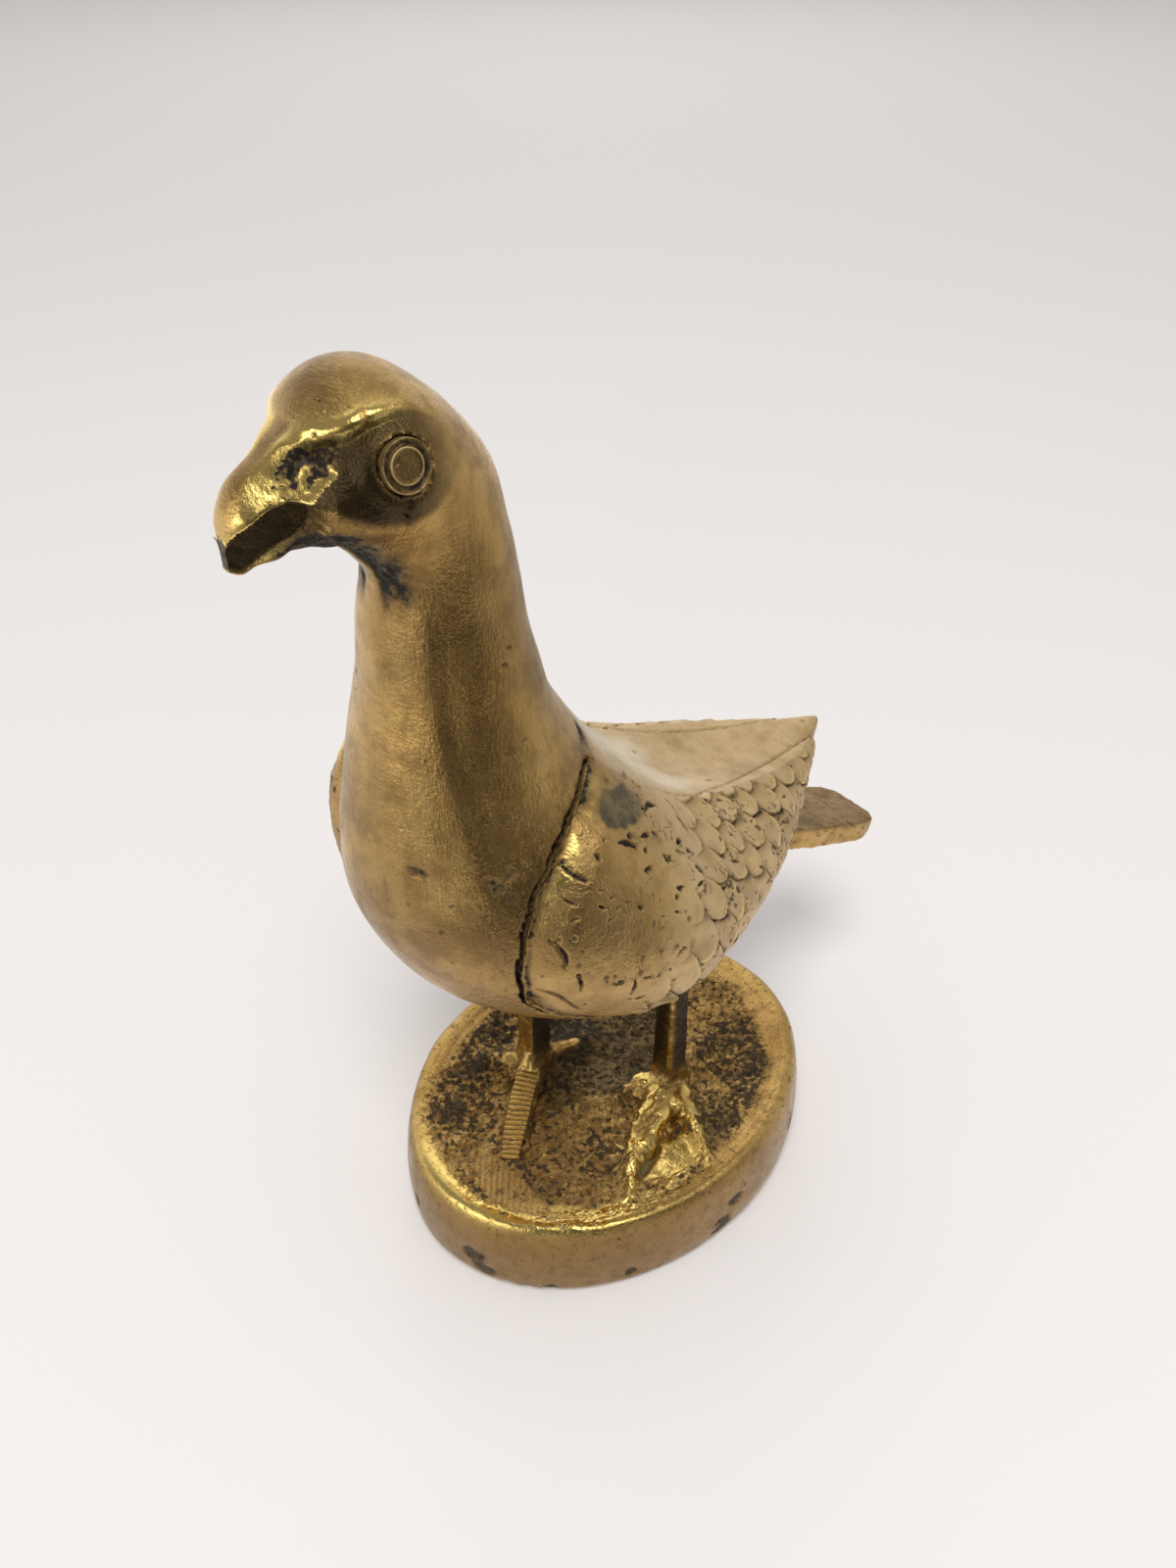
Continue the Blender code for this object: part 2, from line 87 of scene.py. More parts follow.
WING_LOWER = {
    "left": ((-23.8, 56.0), (-21.4, 52.8), (-17.0, 49.8), (-11.5, 47.6), (-4.0, 46.2), (4.0, 45.4),
             (14.0, 44.8), (24.0, 44.4), (31.0, 44.3), (42.0, 44.3)),
    "right": ((-27.8, 56.4), (-25.4, 53.0), (-20.6, 50.0), (-14.0, 47.8), (-4.0, 46.2), (4.0, 45.4),
              (14.0, 44.8), (24.0, 44.4), (31.0, 44.3), (42.0, 44.3)),
}
TOES = {
    "right": (((-8.0, -6.8), (-4.6, -11.2), (-1.2, -15.4), (2.2, -19.2)),
              ((-8.2, -6.0), (-10.2, -8.8), (-11.6, -10.8), (-12.4, -12.0)),
              ((-8.2, -6.6), (-7.6, -3.0), (-7.0, -0.4), (-6.6, 1.6))),
    "left": (((6.6, 5.2), (9.4, 0.6), (12.0, -4.4), (14.0, -8.2)),
             ((6.7, 5.4), (10.2, 4.2), (13.2, 3.0), (15.2, 2.2)),
             ((6.4, 5.6), (5.2, 1.6), (4.4, -1.6), (3.8, -4.0)),
             ((6.5, 5.2), (6.0, 8.8), (5.6, 11.4), (5.3, 13.4))),
}
EYE_AT = (7.75, -28.0, 112.6)
EYE_AXIS = (0.97, -0.02, 0.22)
# brow ridge from the beak tip over the face to the back of the head, (Y, Z)
BROW = ((-40.6, 107.4), (-40.0, 108.6), (-39.2, 109.4), (-38.4, 110.1), (-37.4, 111.3), (-36.2, 112.7), (-35.0, 113.9),
        (-33.8, 114.8), (-32.2, 115.3), (-30.0, 116.1), (-28.2, 116.2), (-26.2, 116.0), (-24.8, 115.3), (-23.0, 114.2))
# lower border of the dark face, the line under the jaw, the filed cut of the mouth
FACE_LOW = ((-38.0, 108.6), (-35.0, 109.6), (-33.6, 110.0), (-32.0, 109.0), (-30.2, 108.4), (-28.0, 108.4), (-25.6, 109.0), (-23.0, 111.5))
JAW = ((-37.2, 107.2), (-35.0, 107.2), (-32.7, 106.2), (-30.8, 104.4), (-29.2, 102.4), (-28.0, 100.4), (-27.3, 98.6))
MOUTH_TOP = ((-40.6, 107.2), (-39.8, 108.5), (-38.4, 109.6), (-37.2, 110.2), (-35.8, 110.6), (-34.4, 110.2))
MOUTH_LOW = ((-40.6, 105.4), (-39.6, 105.0), (-38.7, 105.6), (-37.0, 106.8), (-35.8, 107.4), (-34.4, 108.6))
# edge down the front of the neck, (Y, Z), left side
KEEL = ((-26.0, 100.0), (-26.2, 97.0), (-26.6, 93.0), (-26.9, 88.0), (-27.0, 83.0), (-26.8, 77.5), (-26.5, 72.5), (-26.4, 68.0))
# longer cracks and punch strokes on the left wing: (Y, Z), direction in degrees, half length
CRACKS = ((-5.6, 70.7, -25, 1.8), (-11.8, 71.4, -38, 1.5), (-8.9, 70.4, -20, 0.8), (-10.6, 68.4, -10, 0.7), (-19.1, 71.7, -50, 0.9),
          (-21.8, 64.0, -75, 1.9), (-4.1, 67.0, -20, 0.7), (-7.4, 67.6, -60, 0.6), (-20.6, 60.0, -80, 1.3), (-15.0, 57.0, -95, 1.4))


# ------------------------------------------------------------------ small tools
def spline(rows, k):
    p = np.asarray(rows, float)
    q = np.vstack([2 * p[0] - p[1], p, 2 * p[-1] - p[-2]])
    out = []
    for i in range(len(p) - 1):
        a, b, c, d = q[i:i + 4]
        for j in range(k):
            t = j / k
            out.append(0.5 * (2 * b + (c - a) * t + (2 * a - 5 * b + 4 * c - d) * t * t
                              + (3 * b - a - 3 * c + d) * t ** 3))
    out.append(p[-1])
    return np.array(out)


def section_rows(proud, k):
    rows = np.array(SECTIONS)
    rows[:len(proud), 4] += proud
    return spline(rows, k)


def skin(proud=(), k=10, ring=(90, 34, 48)):
    """The bird's smooth outside as a search tree (millimetres)."""
    under, flank, top = ring
    rows = []
    for dy, dz, vy, vz, w, peak, back, dish in section_rows(proud, k):
        t = math.acos(min(max(back, 0.0), 0.98))
        th = np.concatenate([np.linspace(-math.pi, 0, under, endpoint=False),
                             np.linspace(0, t, flank, endpoint=False),
                             np.linspace(t, math.pi - t, top, endpoint=False),
                             np.linspace(math.pi - t, math.pi, flank, endpoint=False)])
        c, s = np.cos(th), np.sin(th)
        up = np.array([dy - vy, dz - vz])
        h = peak + np.where(s >= 0, 1 - peak, peak) * s
        sag = dish * np.clip(1 - (c / max(back, 1e-3)) ** 2, 0, None) * (s > 0)
        yz = np.array([vy, vz]) + np.outer(h, up) - np.outer(sag, up / np.linalg.norm(up))
        rows.append(np.column_stack([w * c, yz]))
    n = len(rows[0])
    v = np.concatenate(rows)
    f = []
    for i in range(len(rows) - 1):
        for j in range(n):
            a, b = i * n + j, i * n + (j + 1) % n
            f.append((a, b, b + n, a + n))
    return BVHTree.FromPolygons(v.tolist(), f)


def crest(proud=()):
    """The upper edge of a wing, where the flank turns into the dished back: (X, Y, Z)."""
    out = []
    for dy, dz, vy, vz, w, peak, back, dish in section_rows(proud, 4)[:26]:
        h = peak + (1 - peak) * math.sin(math.acos(min(back, 0.98)))
        out.append((w * back, vy + h * (dy - vy), vz + h * (dz - vz)))
    return np.array(out)


def hash01(ix, iy, iz, seed):
    n = (ix * 374761393 + iy * 668265263 + iz * 1440662683 + seed * 1274126177) & 0xffffffff
    n = ((n ^ (n >> 13)) * 1274126177) & 0xffffffff
    n = ((n ^ (n >> 15)) * 2246822519) & 0xffffffff
    return ((n ^ (n >> 16)) & 0xffffff) / 16777215.0


def value_noise(p, seed):
    i = np.floor(p).astype(np.int64)
    f = p - i
    f = f * f * f * (f * (f * 6 - 15) + 10)
    out = np.zeros(len(p))
    for dx in (0, 1):
        for dy in (0, 1):
            for dz in (0, 1):
                w = (np.abs(1 - dx - f[:, 0]) * np.abs(1 - dy - f[:, 1]) * np.abs(1 - dz - f[:, 2]))
                out += w * hash01(i[:, 0] + dx, i[:, 1] + dy, i[:, 2] + dz, seed)
    return out * 2 - 1


def fbm(p, size, octaves=3, seed=0, gain=0.5):
    """Noise in about -1..1 whose largest features are size millimetres."""
    out, amp, total = np.zeros(len(p)), 1.0, 0.0
    q = p / size
    for o in range(octaves):
        out += amp * value_noise(q * 2 ** o + 17.3 * o, seed + 31 * o)
        total += amp
        amp *= gain
    return out / total


def cells(p, size, seed, jitter=0.9):
    """Distance to the nearest of scattered points, in cells, and that point's number 0..1."""
    q = p / size
    i = np.floor(q).astype(np.int64)
    best = np.full(len(p), 9.0)
    who = np.zeros(len(p))
    for dx in (-1, 0, 1):
        for dy in (-1, 0, 1):
            for dz in (-1, 0, 1):
                jx, jy, jz = i[:, 0] + dx, i[:, 1] + dy, i[:, 2] + dz
                c = np.column_stack([jx, jy, jz]) + 0.5 + jitter * (np.column_stack(
                    [hash01(jx, jy, jz, seed), hash01(jx, jy, jz, seed + 7), hash01(jx, jy, jz, seed + 13)]) - 0.5)
                d = np.sqrt(((q - c) ** 2).sum(1))
                near = d < best
                best = np.where(near, d, best)
                who = np.where(near, hash01(jx, jy, jz, seed + 23), who)
    return best, who


def step(lo, hi, x):
    t = np.clip((x - lo) / (hi - lo), 0, 1)
    return t * t * (3 - 2 * t)


def bell(x, w):
    return np.exp(-(x / w) ** 2)


def along(yz, line):
    """Distance to a 2-D polyline and length along it."""
    line = np.asarray(line, float)
    best = np.full(len(yz), 1e9)
    run = np.zeros(len(yz))
    s0 = 0.0
    for a, b in zip(line, line[1:]):
        d = b - a
        ln = np.linalg.norm(d)
        t = np.clip(((yz - a) @ d) / ln ** 2, 0, 1)
        dist = np.sqrt(((yz - a - t[:, None] * d) ** 2).sum(1))
        near = dist < best
        best = np.where(near, dist, best)
        run = np.where(near, s0 + t * ln, run)
        s0 += ln
    return best, run


class Cast:
    """A fine copy of a CAD node that is worked in millimetres."""

    def __init__(self, node, voxel):
        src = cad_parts[node]
        ob = src.copy()
        ob.data = src.data.copy()
        bpy.context.scene.collection.objects.link(ob)
        m = ob.modifiers.new("r", 'REMESH')
        m.mode = 'VOXEL'
        m.voxel_size = voxel * MM
        dg = bpy.context.evaluated_depsgraph_get()
        me = bpy.data.meshes.new_from_object(ob.evaluated_get(dg))
        bpy.data.objects.remove(ob, do_unlink=True)
        self.node, self.me = node, me
        me.name = node + "_cast"
        self.read()
        self.at = {}

    def read(self):
        me = self.me
        n = len(me.vertices)
        co = np.empty(n * 3)
        me.vertices.foreach_get("co", co)
        self.v = co.reshape(-1, 3) / MM
        e = np.empty(len(me.edges) * 2, dtype=np.int64)
        me.edges.foreach_get("vertices", e)
        self.e = e.reshape(-1, 2)
        self.deg = np.bincount(self.e.ravel(), minlength=n).astype(float)

    def refine(self, mask):
        """Halves the mesh size of the faces whose corners are all in the mask."""
        self.me.vertices.foreach_set("co", (self.v * MM).ravel())
        bm = bmesh.new()
        bm.from_mesh(self.me)
        edges = set()
        for f in bm.faces:
            if all(mask[v.index] for v in f.verts):
                edges.update(f.edges)
        bmesh.ops.subdivide_edges(bm, edges=list(edges), cuts=1, use_grid_fill=True)
        bmesh.ops.triangulate(bm, faces=[f for f in bm.faces if len(f.verts) > 4])
        bm.to_mesh(self.me)
        bm.free()
        self.read()

    def mean(self, x):
        a, b = self.e[:, 0], self.e[:, 1]
        n = len(self.v)
        if x.ndim == 1:
            return (np.bincount(a, x[b], n) + np.bincount(b, x[a], n)) / self.deg
        return np.column_stack([self.mean(x[:, k]) for k in range(x.shape[1])])

    def smooth(self, times, weight=None):
        for _ in range(times):
            d = 0.5 * (self.mean(self.v) - self.v)
            self.v += d if weight is None else d * weight[:, None]

    def normals(self):
        self.me.vertices.foreach_set("co", (self.v * MM).ravel())
        self.me.update()
        n = np.empty(len(self.v) * 3)
        self.me.vertex_normals.foreach_get("vector", n)
        return n.reshape(-1, 3)

    def lay_on(self, tree, reach, loose=None):
        """Moves vertices that face like the skin onto it. Returns which were moved.
        Loose ones move at sharp edges too."""
        n = self.normals()
        hit = np.zeros(len(self.v), bool)
        out = self.v.copy()
        for i, p in enumerate(self.v):
            q = tree.find_nearest(Vector(p), reach)
            if q[0] is None:
                continue
            facing = abs(q[1].dot(Vector(n[i])))
            if facing > 0.6 or (loose is not None and loose[i] and facing > 0.2 and q[3] < 0.45):
                out[i] = q[0]
                hit[i] = True
        self.v = out
        return hit

    def over(self, tree, which):
        """For the chosen vertices: height outside a skin, foot point on it, outward normal."""
        h, foot, out = np.zeros(len(self.v)), self.v.copy(), np.zeros_like(self.v)
        for i in np.nonzero(which)[0]:
            p = Vector(self.v[i])
            q, n, _, dist = tree.find_nearest(p, 15)
            if q is None:
                continue
            if n.x * q.x + n.z * (q.z - 52) + 0.3 * n.y * (q.y + 5) < 0:
                n = -n
            h[i] = dist if (p - q).dot(n) > 0 else -dist
            foot[i], out[i] = q, n
        return h, foot, out

    def push(self, amount, n=None):
        if n is None:
            n = self.normals()
        self.v = self.v + n * np.asarray(amount)[:, None]

    def done(self, mat):
        self.normals()
        me = self.me
        me.materials.clear()
        me.materials.append(mat)
        for p in ("dirt_and_shade", "rub_and_highlight", "tarnish_and_shade", "green", "dust_and_sheen", "pitted", "film_and_shade", "crust"):
            a = me.attributes.new(p, 'FLOAT', 'POINT')
            a.data.foreach_set("value", np.clip(self.at.get(p, np.zeros(len(self.v))), 0, 1).astype(np.float32))
        me.polygons.foreach_set("use_smooth", np.ones(len(me.polygons), bool))
        ob = bpy.data.objects.new(self.me.name, me)
        bpy.context.scene.collection.objects.link(ob)
        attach(ob, "root")
        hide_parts(self.node)
        return ob


# ------------------------------------------------------------------ material
def brass(name, polish=0.30, brown=0.45, grain=1.0):
    """Aged cast brass. Point attributes steer it: dirt (also painted shade), rub (worn bright,
    also painted highlights), tone (tarnished, also painted shade), green (verdigris), dust (dull and
    pale, also painted sheen and highlights), pitted, smoke (smooth dark film, also painted shade) and crust (black
    crackle)."""
    mat = bpy.data.materials.new(name)
    mat.use_nodes = True
    nt = mat.node_tree
    nd, lk = nt.nodes, nt.links
    bsdf = nd["Principled BSDF"]

    def node(kind, **kw):
        n = nd.new(kind)
        for k, v in kw.items():
            setattr(n, k, v)
        return n

    def attr(n):
        return node("ShaderNodeAttribute", attribute_name=n).outputs["Fac"]

    def math_(op, a, b=None, clamp=False):
        n = node("ShaderNodeMath", operation=op, use_clamp=clamp)
        for i, x in enumerate((a, b)):
            if x is None:
                continue
            if isinstance(x, (int, float)):
                n.inputs[i].default_value = x
            else:
                lk.new(x, n.inputs[i])
        return n.outputs[0]

    def ramp(x, lo, hi, a=0.0, b=1.0):
        n = node("ShaderNodeMapRange", interpolation_type='SMOOTHSTEP')
        lk.new(x, n.inputs["Value"])
        n.inputs["From Min"].default_value = lo
        n.inputs["From Max"].default_value = hi
        n.inputs["To Min"].default_value = a
        n.inputs["To Max"].default_value = b
        return n.outputs[0]

    def mix(f, a, b):
        n = node("ShaderNodeMix", data_type='RGBA')
        for s, x in ((n.inputs[0], f), (n.inputs[6], a), (n.inputs[7], b)):
            if isinstance(x, tuple):
                s.default_value = (*x, 1.0)
            elif isinstance(x, (int, float)):
                s.default_value = x
            else:
                lk.new(x, s)
        return n.outputs[2]

    co = node("ShaderNodeTexCoord").outputs["Object"]

    def noise(scale, detail=4.0, rough=0.55, vec=None, kind='FBM'):
        n = node("ShaderNodeTexNoise", noise_type=kind)
        n.inputs["Scale"].default_value = scale
        n.inputs["Detail"].default_value = detail
        n.inputs["Roughness"].default_value = rough
        lk.new(vec if vec is not None else co, n.inputs["Vector"])
        return n.outputs["Fac"]

    def stretched(turn, scale):
        n = node("ShaderNodeMapping")
        n.inputs["Rotation"].default_value = turn
        n.inputs["Scale"].default_value = scale
        lk.new(co, n.inputs["Vector"])
        return n.outputs[0]

    dirt_and_shade, rub_and_highlight, tarnish_and_shade, green, dust_and_sheen, pitted, film_and_shade, crust = (
        attr(a) for a in ("dirt_and_shade", "rub_and_highlight", "tarnish_and_shade", "green", "dust_and_sheen", "pitted", "film_and_shade", "crust"))
    big, mid, fine = noise(75, 4), noise(360, 6, 0.6), noise(2100, 4, 0.6)

    # metal: bright and brownish cloudy patches, tarnish and painted shade, worn places and painted highlights, dull
    # pale places and painted sheen, dark film and painted shade
    streak = noise(520, 5, 0.6, stretched((0.5, 0.15, 0.3), (1.0, 1.0, 0.22)))
    col = mix(ramp(big, 0.34, 0.68), (0.62, 0.400, 0.140), (0.50, 0.305, 0.095))
    col = mix(math_('MULTIPLY', ramp(mid, 0.44, 0.70), brown * 1.15), col, (0.30, 0.175, 0.058))
    col = mix(math_('MULTIPLY', ramp(streak, 0.50, 0.72), brown * 0.8), col, (0.30, 0.180, 0.064))
    col = mix(math_('MULTIPLY', ramp(streak, 0.45, 0.25), 0.30), col, (0.74, 0.520, 0.215))
    pale = mix(ramp(dust_and_sheen, 0.87, 0.99), (0.60, 0.460, 0.275), (0.74, 0.650, 0.490))
    col = mix(math_('MULTIPLY', dust_and_sheen, ramp(mid, 0.20, 0.75, 0.95, 0.55)), col, pale)
    col = mix(ramp(dust_and_sheen, 0.80, 0.99, 0.0, 0.45), col, (0.76, 0.690, 0.540))
    col = mix(math_('MULTIPLY', tarnish_and_shade, 0.85), col, (0.25, 0.150, 0.055))
    col = mix(math_('MULTIPLY', film_and_shade, 0.94), col, (0.050, 0.036, 0.020))
    col = mix(math_('MULTIPLY', rub_and_highlight, 0.92), col, (0.93, 0.685, 0.215))
    # pinholes and casting cracks filled with dirt
    spots = node("ShaderNodeTexVoronoi")
    spots.inputs["Scale"].default_value = 310
    lk.new(co, spots.inputs["Vector"])
    pin = math_('MULTIPLY', ramp(spots.outputs["Distance"], 0.13, 0.05), ramp(noise(130, 3), 0.50, 0.58))
    wave = noise(560, 4, 0.6)
    crack = math_('MULTIPLY', ramp(math_('ABSOLUTE', math_('SUBTRACT', wave, 0.46)), 0.020, 0.006),
                  ramp(noise(700, 2, 0.5), 0.50, 0.58))
    crack = math_('MAXIMUM', crack, ramp(noise(850, 3, 0.55), 0.360, 0.325))
    hole = math_('MAXIMUM', math_('MULTIPLY', pin, 0.8), math_('MULTIPLY', crack, pitted), clamp=True)
    flake = math_('ADD', noise(1200, 5, 0.64), math_('MULTIPLY', crust, 0.20))
    flake = math_('MULTIPLY', ramp(flake, 0.60, 0.65), ramp(crust, 0.02, 0.15))
    hole = math_('MAXIMUM', hole, flake, clamp=True)
    # dirt darkens the colour towards black; where it marks the legs it is painted shade
    grime_and_shade = math_('MULTIPLY', dirt_and_shade, ramp(fine, 0.25, 0.75, 1.35, 0.75), clamp=True)
    grime_and_shade = math_('MAXIMUM', grime_and_shade, math_('MULTIPLY', hole, 0.92), clamp=True)
    # grey glints where the filling is rubbed
    black = mix(ramp(noise(900, 3), 0.56, 0.72), (0.016, 0.012, 0.008), (0.050, 0.044, 0.036))
    col = mix(grime_and_shade, col, black)
    col = mix(math_('MULTIPLY', green, ramp(mid, 0.35, 0.70, 0.95, 0.70)), col, mix(ramp(mid, 0.35, 0.65), (0.028, 0.031, 0.021), (0.070, 0.071, 0.044)))
    lk.new(col, bsdf.inputs["Base Color"])

    covered = math_('MAXIMUM', grime_and_shade, green, clamp=True)
    lk.new(math_('MULTIPLY', ramp(covered, 0.2, 0.95, 1.0, 0.25), ramp(dust_and_sheen, 0.0, 1.0, 1.0, 0.50)), bsdf.inputs["Metallic"])
    bsdf.inputs["Specular IOR Level"].default_value = 0.25
    r = math_('ADD', ramp(mid, 0.28, 0.75, polish - 0.07, polish + 0.11), math_('MULTIPLY', math_('SUBTRACT', fine, 0.5), 0.12))
    r = math_('ADD', r, math_('MULTIPLY', dust_and_sheen, 0.13))
    r = math_('MULTIPLY', r, ramp(rub_and_highlight, 0.0, 1.0, 1.0, 0.42))
    r = math_('ADD', r, math_('MULTIPLY', covered, 0.30), clamp=True)
    lk.new(r, bsdf.inputs["Roughness"])

    # polishing hairlines, casting grain and pinholes, too fine for geometry
    def bump(height, strength, dist, before=None, invert=False):
        n = node("ShaderNodeBump", invert=invert)
        lk.new(ramp(rub_and_highlight, 0.2, 1.0, strength, 0.3 * strength), n.inputs["Strength"])
        n.inputs["Distance"].default_value = dist
        lk.new(height, n.inputs["Height"])
        if before is not None:
            lk.new(before, n.inputs["Normal"])
        return n.outputs[0]

    hair = noise(4200, 3, 0.62, stretched((0.35, 0.5, 0.2), (1.0, 1.0, 0.07)))
    hair2 = noise(3600, 3, 0.62, stretched((-0.6, 0.3, 0.9), (0.08, 1.0, 1.0)))
    nrm = bump(math_('ADD', hair, hair2), 0.34 * grain, 0.0002)
    nrm = bump(noise(1000, 6, 0.66), 0.32 * grain, 0.0003, nrm)
    nrm = bump(hole, 0.7, 0.0003, nrm, True)
    lk.new(nrm, bsdf.inputs["Normal"])
    return mat


# ------------------------------------------------------------------ body
def pits(v, size, seed, share, depth, radius=0.14):
    """Scattered ragged holes: displacement and mask."""
    cd, who = cells(v, size, seed)
    r = radius * (0.6 + 0.8 * ((who * 7.3) % 1))
    hole = step(r, r * 0.5, cd + 0.6 * radius * fbm(v, size * 0.2, 2, seed + 3)) * (who > 1 - share)
    return -depth * hole, hole


def close_back_joint(c, hit, tree):
    """Brings the two sides of the joint along the back together, so that a hairline is left."""
    n = c.normals()
    near = ~hit & (c.v[:, 1] > -9) & (c.v[:, 2] > 46) & (np.abs(n[:, 0]) > 0.6)
    h, _, _ = c.over(tree, near)
    c.push(np.where(near, 0.14 * step(-4.5, -1.5, h), 0.0), n)


def work_body():
    c = Cast("body", 0.44)
    c.smooth(2)
    tree = skin()

    def seat():
        return (c.v[:, 1] > -9) & (c.v[:, 2] > 50) & (np.abs(c.v[:, 0]) < 11)

    hit = c.lay_on(tree, 0.6, seat())
    c.refine(hit & (c.v[:, 2] > 92) & (c.v[:, 1] < -12))
    hit = c.lay_on(tree, 0.6, seat())
    c.smooth(3, np.where(hit, 0.15, np.where(seat(), 0.3, 1.0)))
    close_back_joint(c, hit, tree)
    v = c.v
    x, yz = np.abs(v[:, 0]), v[:, 1:3]
    y, z = v[:, 1], v[:, 2]
    n = c.normals()
    out = hit.astype(float)
    dirt_and_shade, rub_and_highlight, tarnish_and_shade, dust_and_sheen, pitted, film_and_shade = (np.zeros(len(v)) for _ in range(6))

    # hand-filed unevenness of the whole casting
    d = 0.15 * fbm(v, 12, 2, 3) + 0.06 * fbm(v, 4.0, 3, 5) + 0.016 * fbm(v, 1.3, 2, 6)

    # head: sharp brow ridge, hollow face under it with painted shade
    head = step(100.5, 103.5, z) * step(-19.0, -21.5, y)
    dist, run = along(yz, BROW)
    above = np.where(z > np.interp(y, [p[0] for p in BROW], [p[1] for p in BROW]), dist, -dist)
    wavy = 0.16 * fbm(v, 1.5, 3, 12)
    under = -(above + wavy)
    lateral = step(0.4, 1.7, x)
    ends = step(1.0, 3.0, run) * step(20.5, 15.5, run)
    low = np.interp(y, [p[0] for p in FACE_LOW], [p[1] for p in FACE_LOW])
    low = low - 0.8 * step(-33.5, -28.5, y)
    hollow = step(-0.05, 0.42, under) * step(-1.5, 3.5, z - low)
    on = head * lateral * ends
    d += on * (-0.80 * hollow + np.where(v[:, 0] > 0, 0.24, 0.08) * bell(under + 0.30, 0.42))
    face = head * lateral * step(-0.05, 0.15, under) * step(-0.6, 0.5, z - low + 0.3 * fbm(v, 2.2, 2, 14)) \
        * step(-22.2, -26.4, y) * step(-38.6, -37.6, y)
    # painted shade over the face under the brow, darkest towards the beak
    tarnish_and_shade += 0.7 * face
    film_and_shade += face * (0.58 + 0.40 * step(-24.5, -28.5, y) + 0.10 * fbm(v, 2.5, 2, 16))
    # bright band along the top of the brow ridge: worn metal with a painted highlight
    rub_and_highlight += on * np.clip(1.15 * bell(under + 0.22, 0.36) * step(-0.30, 0.25, fbm(v, 2.2, 2, 13) + 0.2), 0, 1)
    rub_and_highlight += on * 0.35 * bell(under + 0.6, 0.8)

    # forehead notch
    d += -0.45 * bell(y + 34.3, 1.1) * bell(z - 115.2, 1.1)
    # throat: rough edge under the jaw, darkened in a grainy band along it
    dj, rj = along(yz, JAW)
    rough = fbm(v, 0.9, 3, 21)
    jaw = bell(dj, 1.15) * step(0.7, 1.6, x) * step(15.0, 11.5, rj)
    d += -0.40 * jaw * (0.8 + 0.9 * rough)
    below = bell(dj, 1.8) * step(0.7, 1.6, x) * step(16.0, 11.5, rj)
    dirt_and_shade += np.clip(jaw * (1.25 + 0.8 * rough), 0, 1)
    pitted += below
    dirt_and_shade += np.clip(below * (0.30 + 1.1 * rough), 0, 0.8)
    tarnish_and_shade += 0.5 * below

    # rough patch between beak and eye
    pa, pb = (y + 35.4) * 0.84 + (z - 112.9) * 0.54, -(y + 35.4) * 0.54 + (z - 112.9) * 0.84
    pr = np.sqrt((pa / 2.6) ** 2 + (pb / 1.5) ** 2)
    patch = step(1.2, 0.7, pr + 0.45 * fbm(v, 1.5, 3, 8)) * step(1.2, 2.0, x) * step(-0.1, 0.1, under)
    lump = fbm(v, 0.95, 3, 9, 0.6)
    d += patch * (0.42 * lump - 0.12)
    dirt_and_shade = np.where(patch > 0.5, np.clip(0.80 - 2.4 * lump, 0, 1), dirt_and_shade)
    tarnish_and_shade, film_and_shade = tarnish_and_shade * (1 - patch), film_and_shade * (1 - patch)
    rub_and_highlight += patch * np.clip(3.2 * lump - 0.45, 0, 1) * step(1.6, -0.6, pa)

    # seam beside the wings, widest and roughest at the top
    for s, side in (("left", 1), ("right", -1)):
        ds, _ = along(yz, WING_FRONT[s])
        mine = step(4.5, 6.5, v[:, 0] * side)
        wob = fbm(v, 1.1, 3, 31)
        high = step(72.0, 77.5, z)
        d += -0.22 * bell(ds - 0.2, 0.45) * mine * (0.9 + 0.5 * wob)
        dirt_and_shade += np.clip(bell(ds, 0.24 + 0.60 * step(73.5, 77.0, z) + 0.20 * wob) * mine * (0.80 + 1.5 * wob), 0, 1)
        pitted += 0.6 * bell(ds, 2.2) * mine
        tarnish_and_shade += 0.40 * bell(ds, 2.2) * mine

    # edge down the front of the neck: the flank beside it is filed a little hollow, with a painted band of shade beside
    # the edge
    dk, rk = along(yz, KEEL)
    outside = np.where(y > np.interp(z, [p[1] for p in KEEL][::-1], [p[0] for p in KEEL][::-1]), dk, -dk)
    outside = outside + 0.25 * fbm(v, 3.0, 2, 33)
    on = step(101.0, 94.0, z) * step(66.0, 78.0, z) * step(2.5, 4.0, x)
    d += on * (-0.36 * step(-0.25, 1.1, outside) * bell(outside, 4.0) + 0.10 * bell(outside + 0.5, 1.2))
    tarnish_and_shade += on * 0.42 * bell(outside - 0.5, 1.1)

    # cloudy tarnish
    tarnish_and_shade += 0.42 * step(0.10, 0.50, fbm(v, 11, 3, 35)) + 0.22 * step(0.15, 0.45, fbm(v, 3.5, 3, 36))

    tarnish_and_shade += 0.35 * bell(np.hypot((y + 30.5) / 5.0, (z - 60.5) / 5.0), 1.0)
    tarnish_and_shade += 0.45 * np.clip(0.5 + 1.3 * fbm(v, 6.0, 4, 77), 0, 1) * step(104.0, 96.0, z)
    tarnish_and_shade += 0.55 * bell(np.hypot((y + 34.2) / 3.5, (z - 114.8) / 2.5), 1.0) * step(4.0, 2.0, x)
    # painted shade down the middle of the breast
    tarnish_and_shade += 0.35 * bell(np.hypot((y + 30.5) / 7.0, (z - 70.0) / 10.0), 1.0) * step(-0.5, 0.3, fbm(v, 5.0, 3, 37))

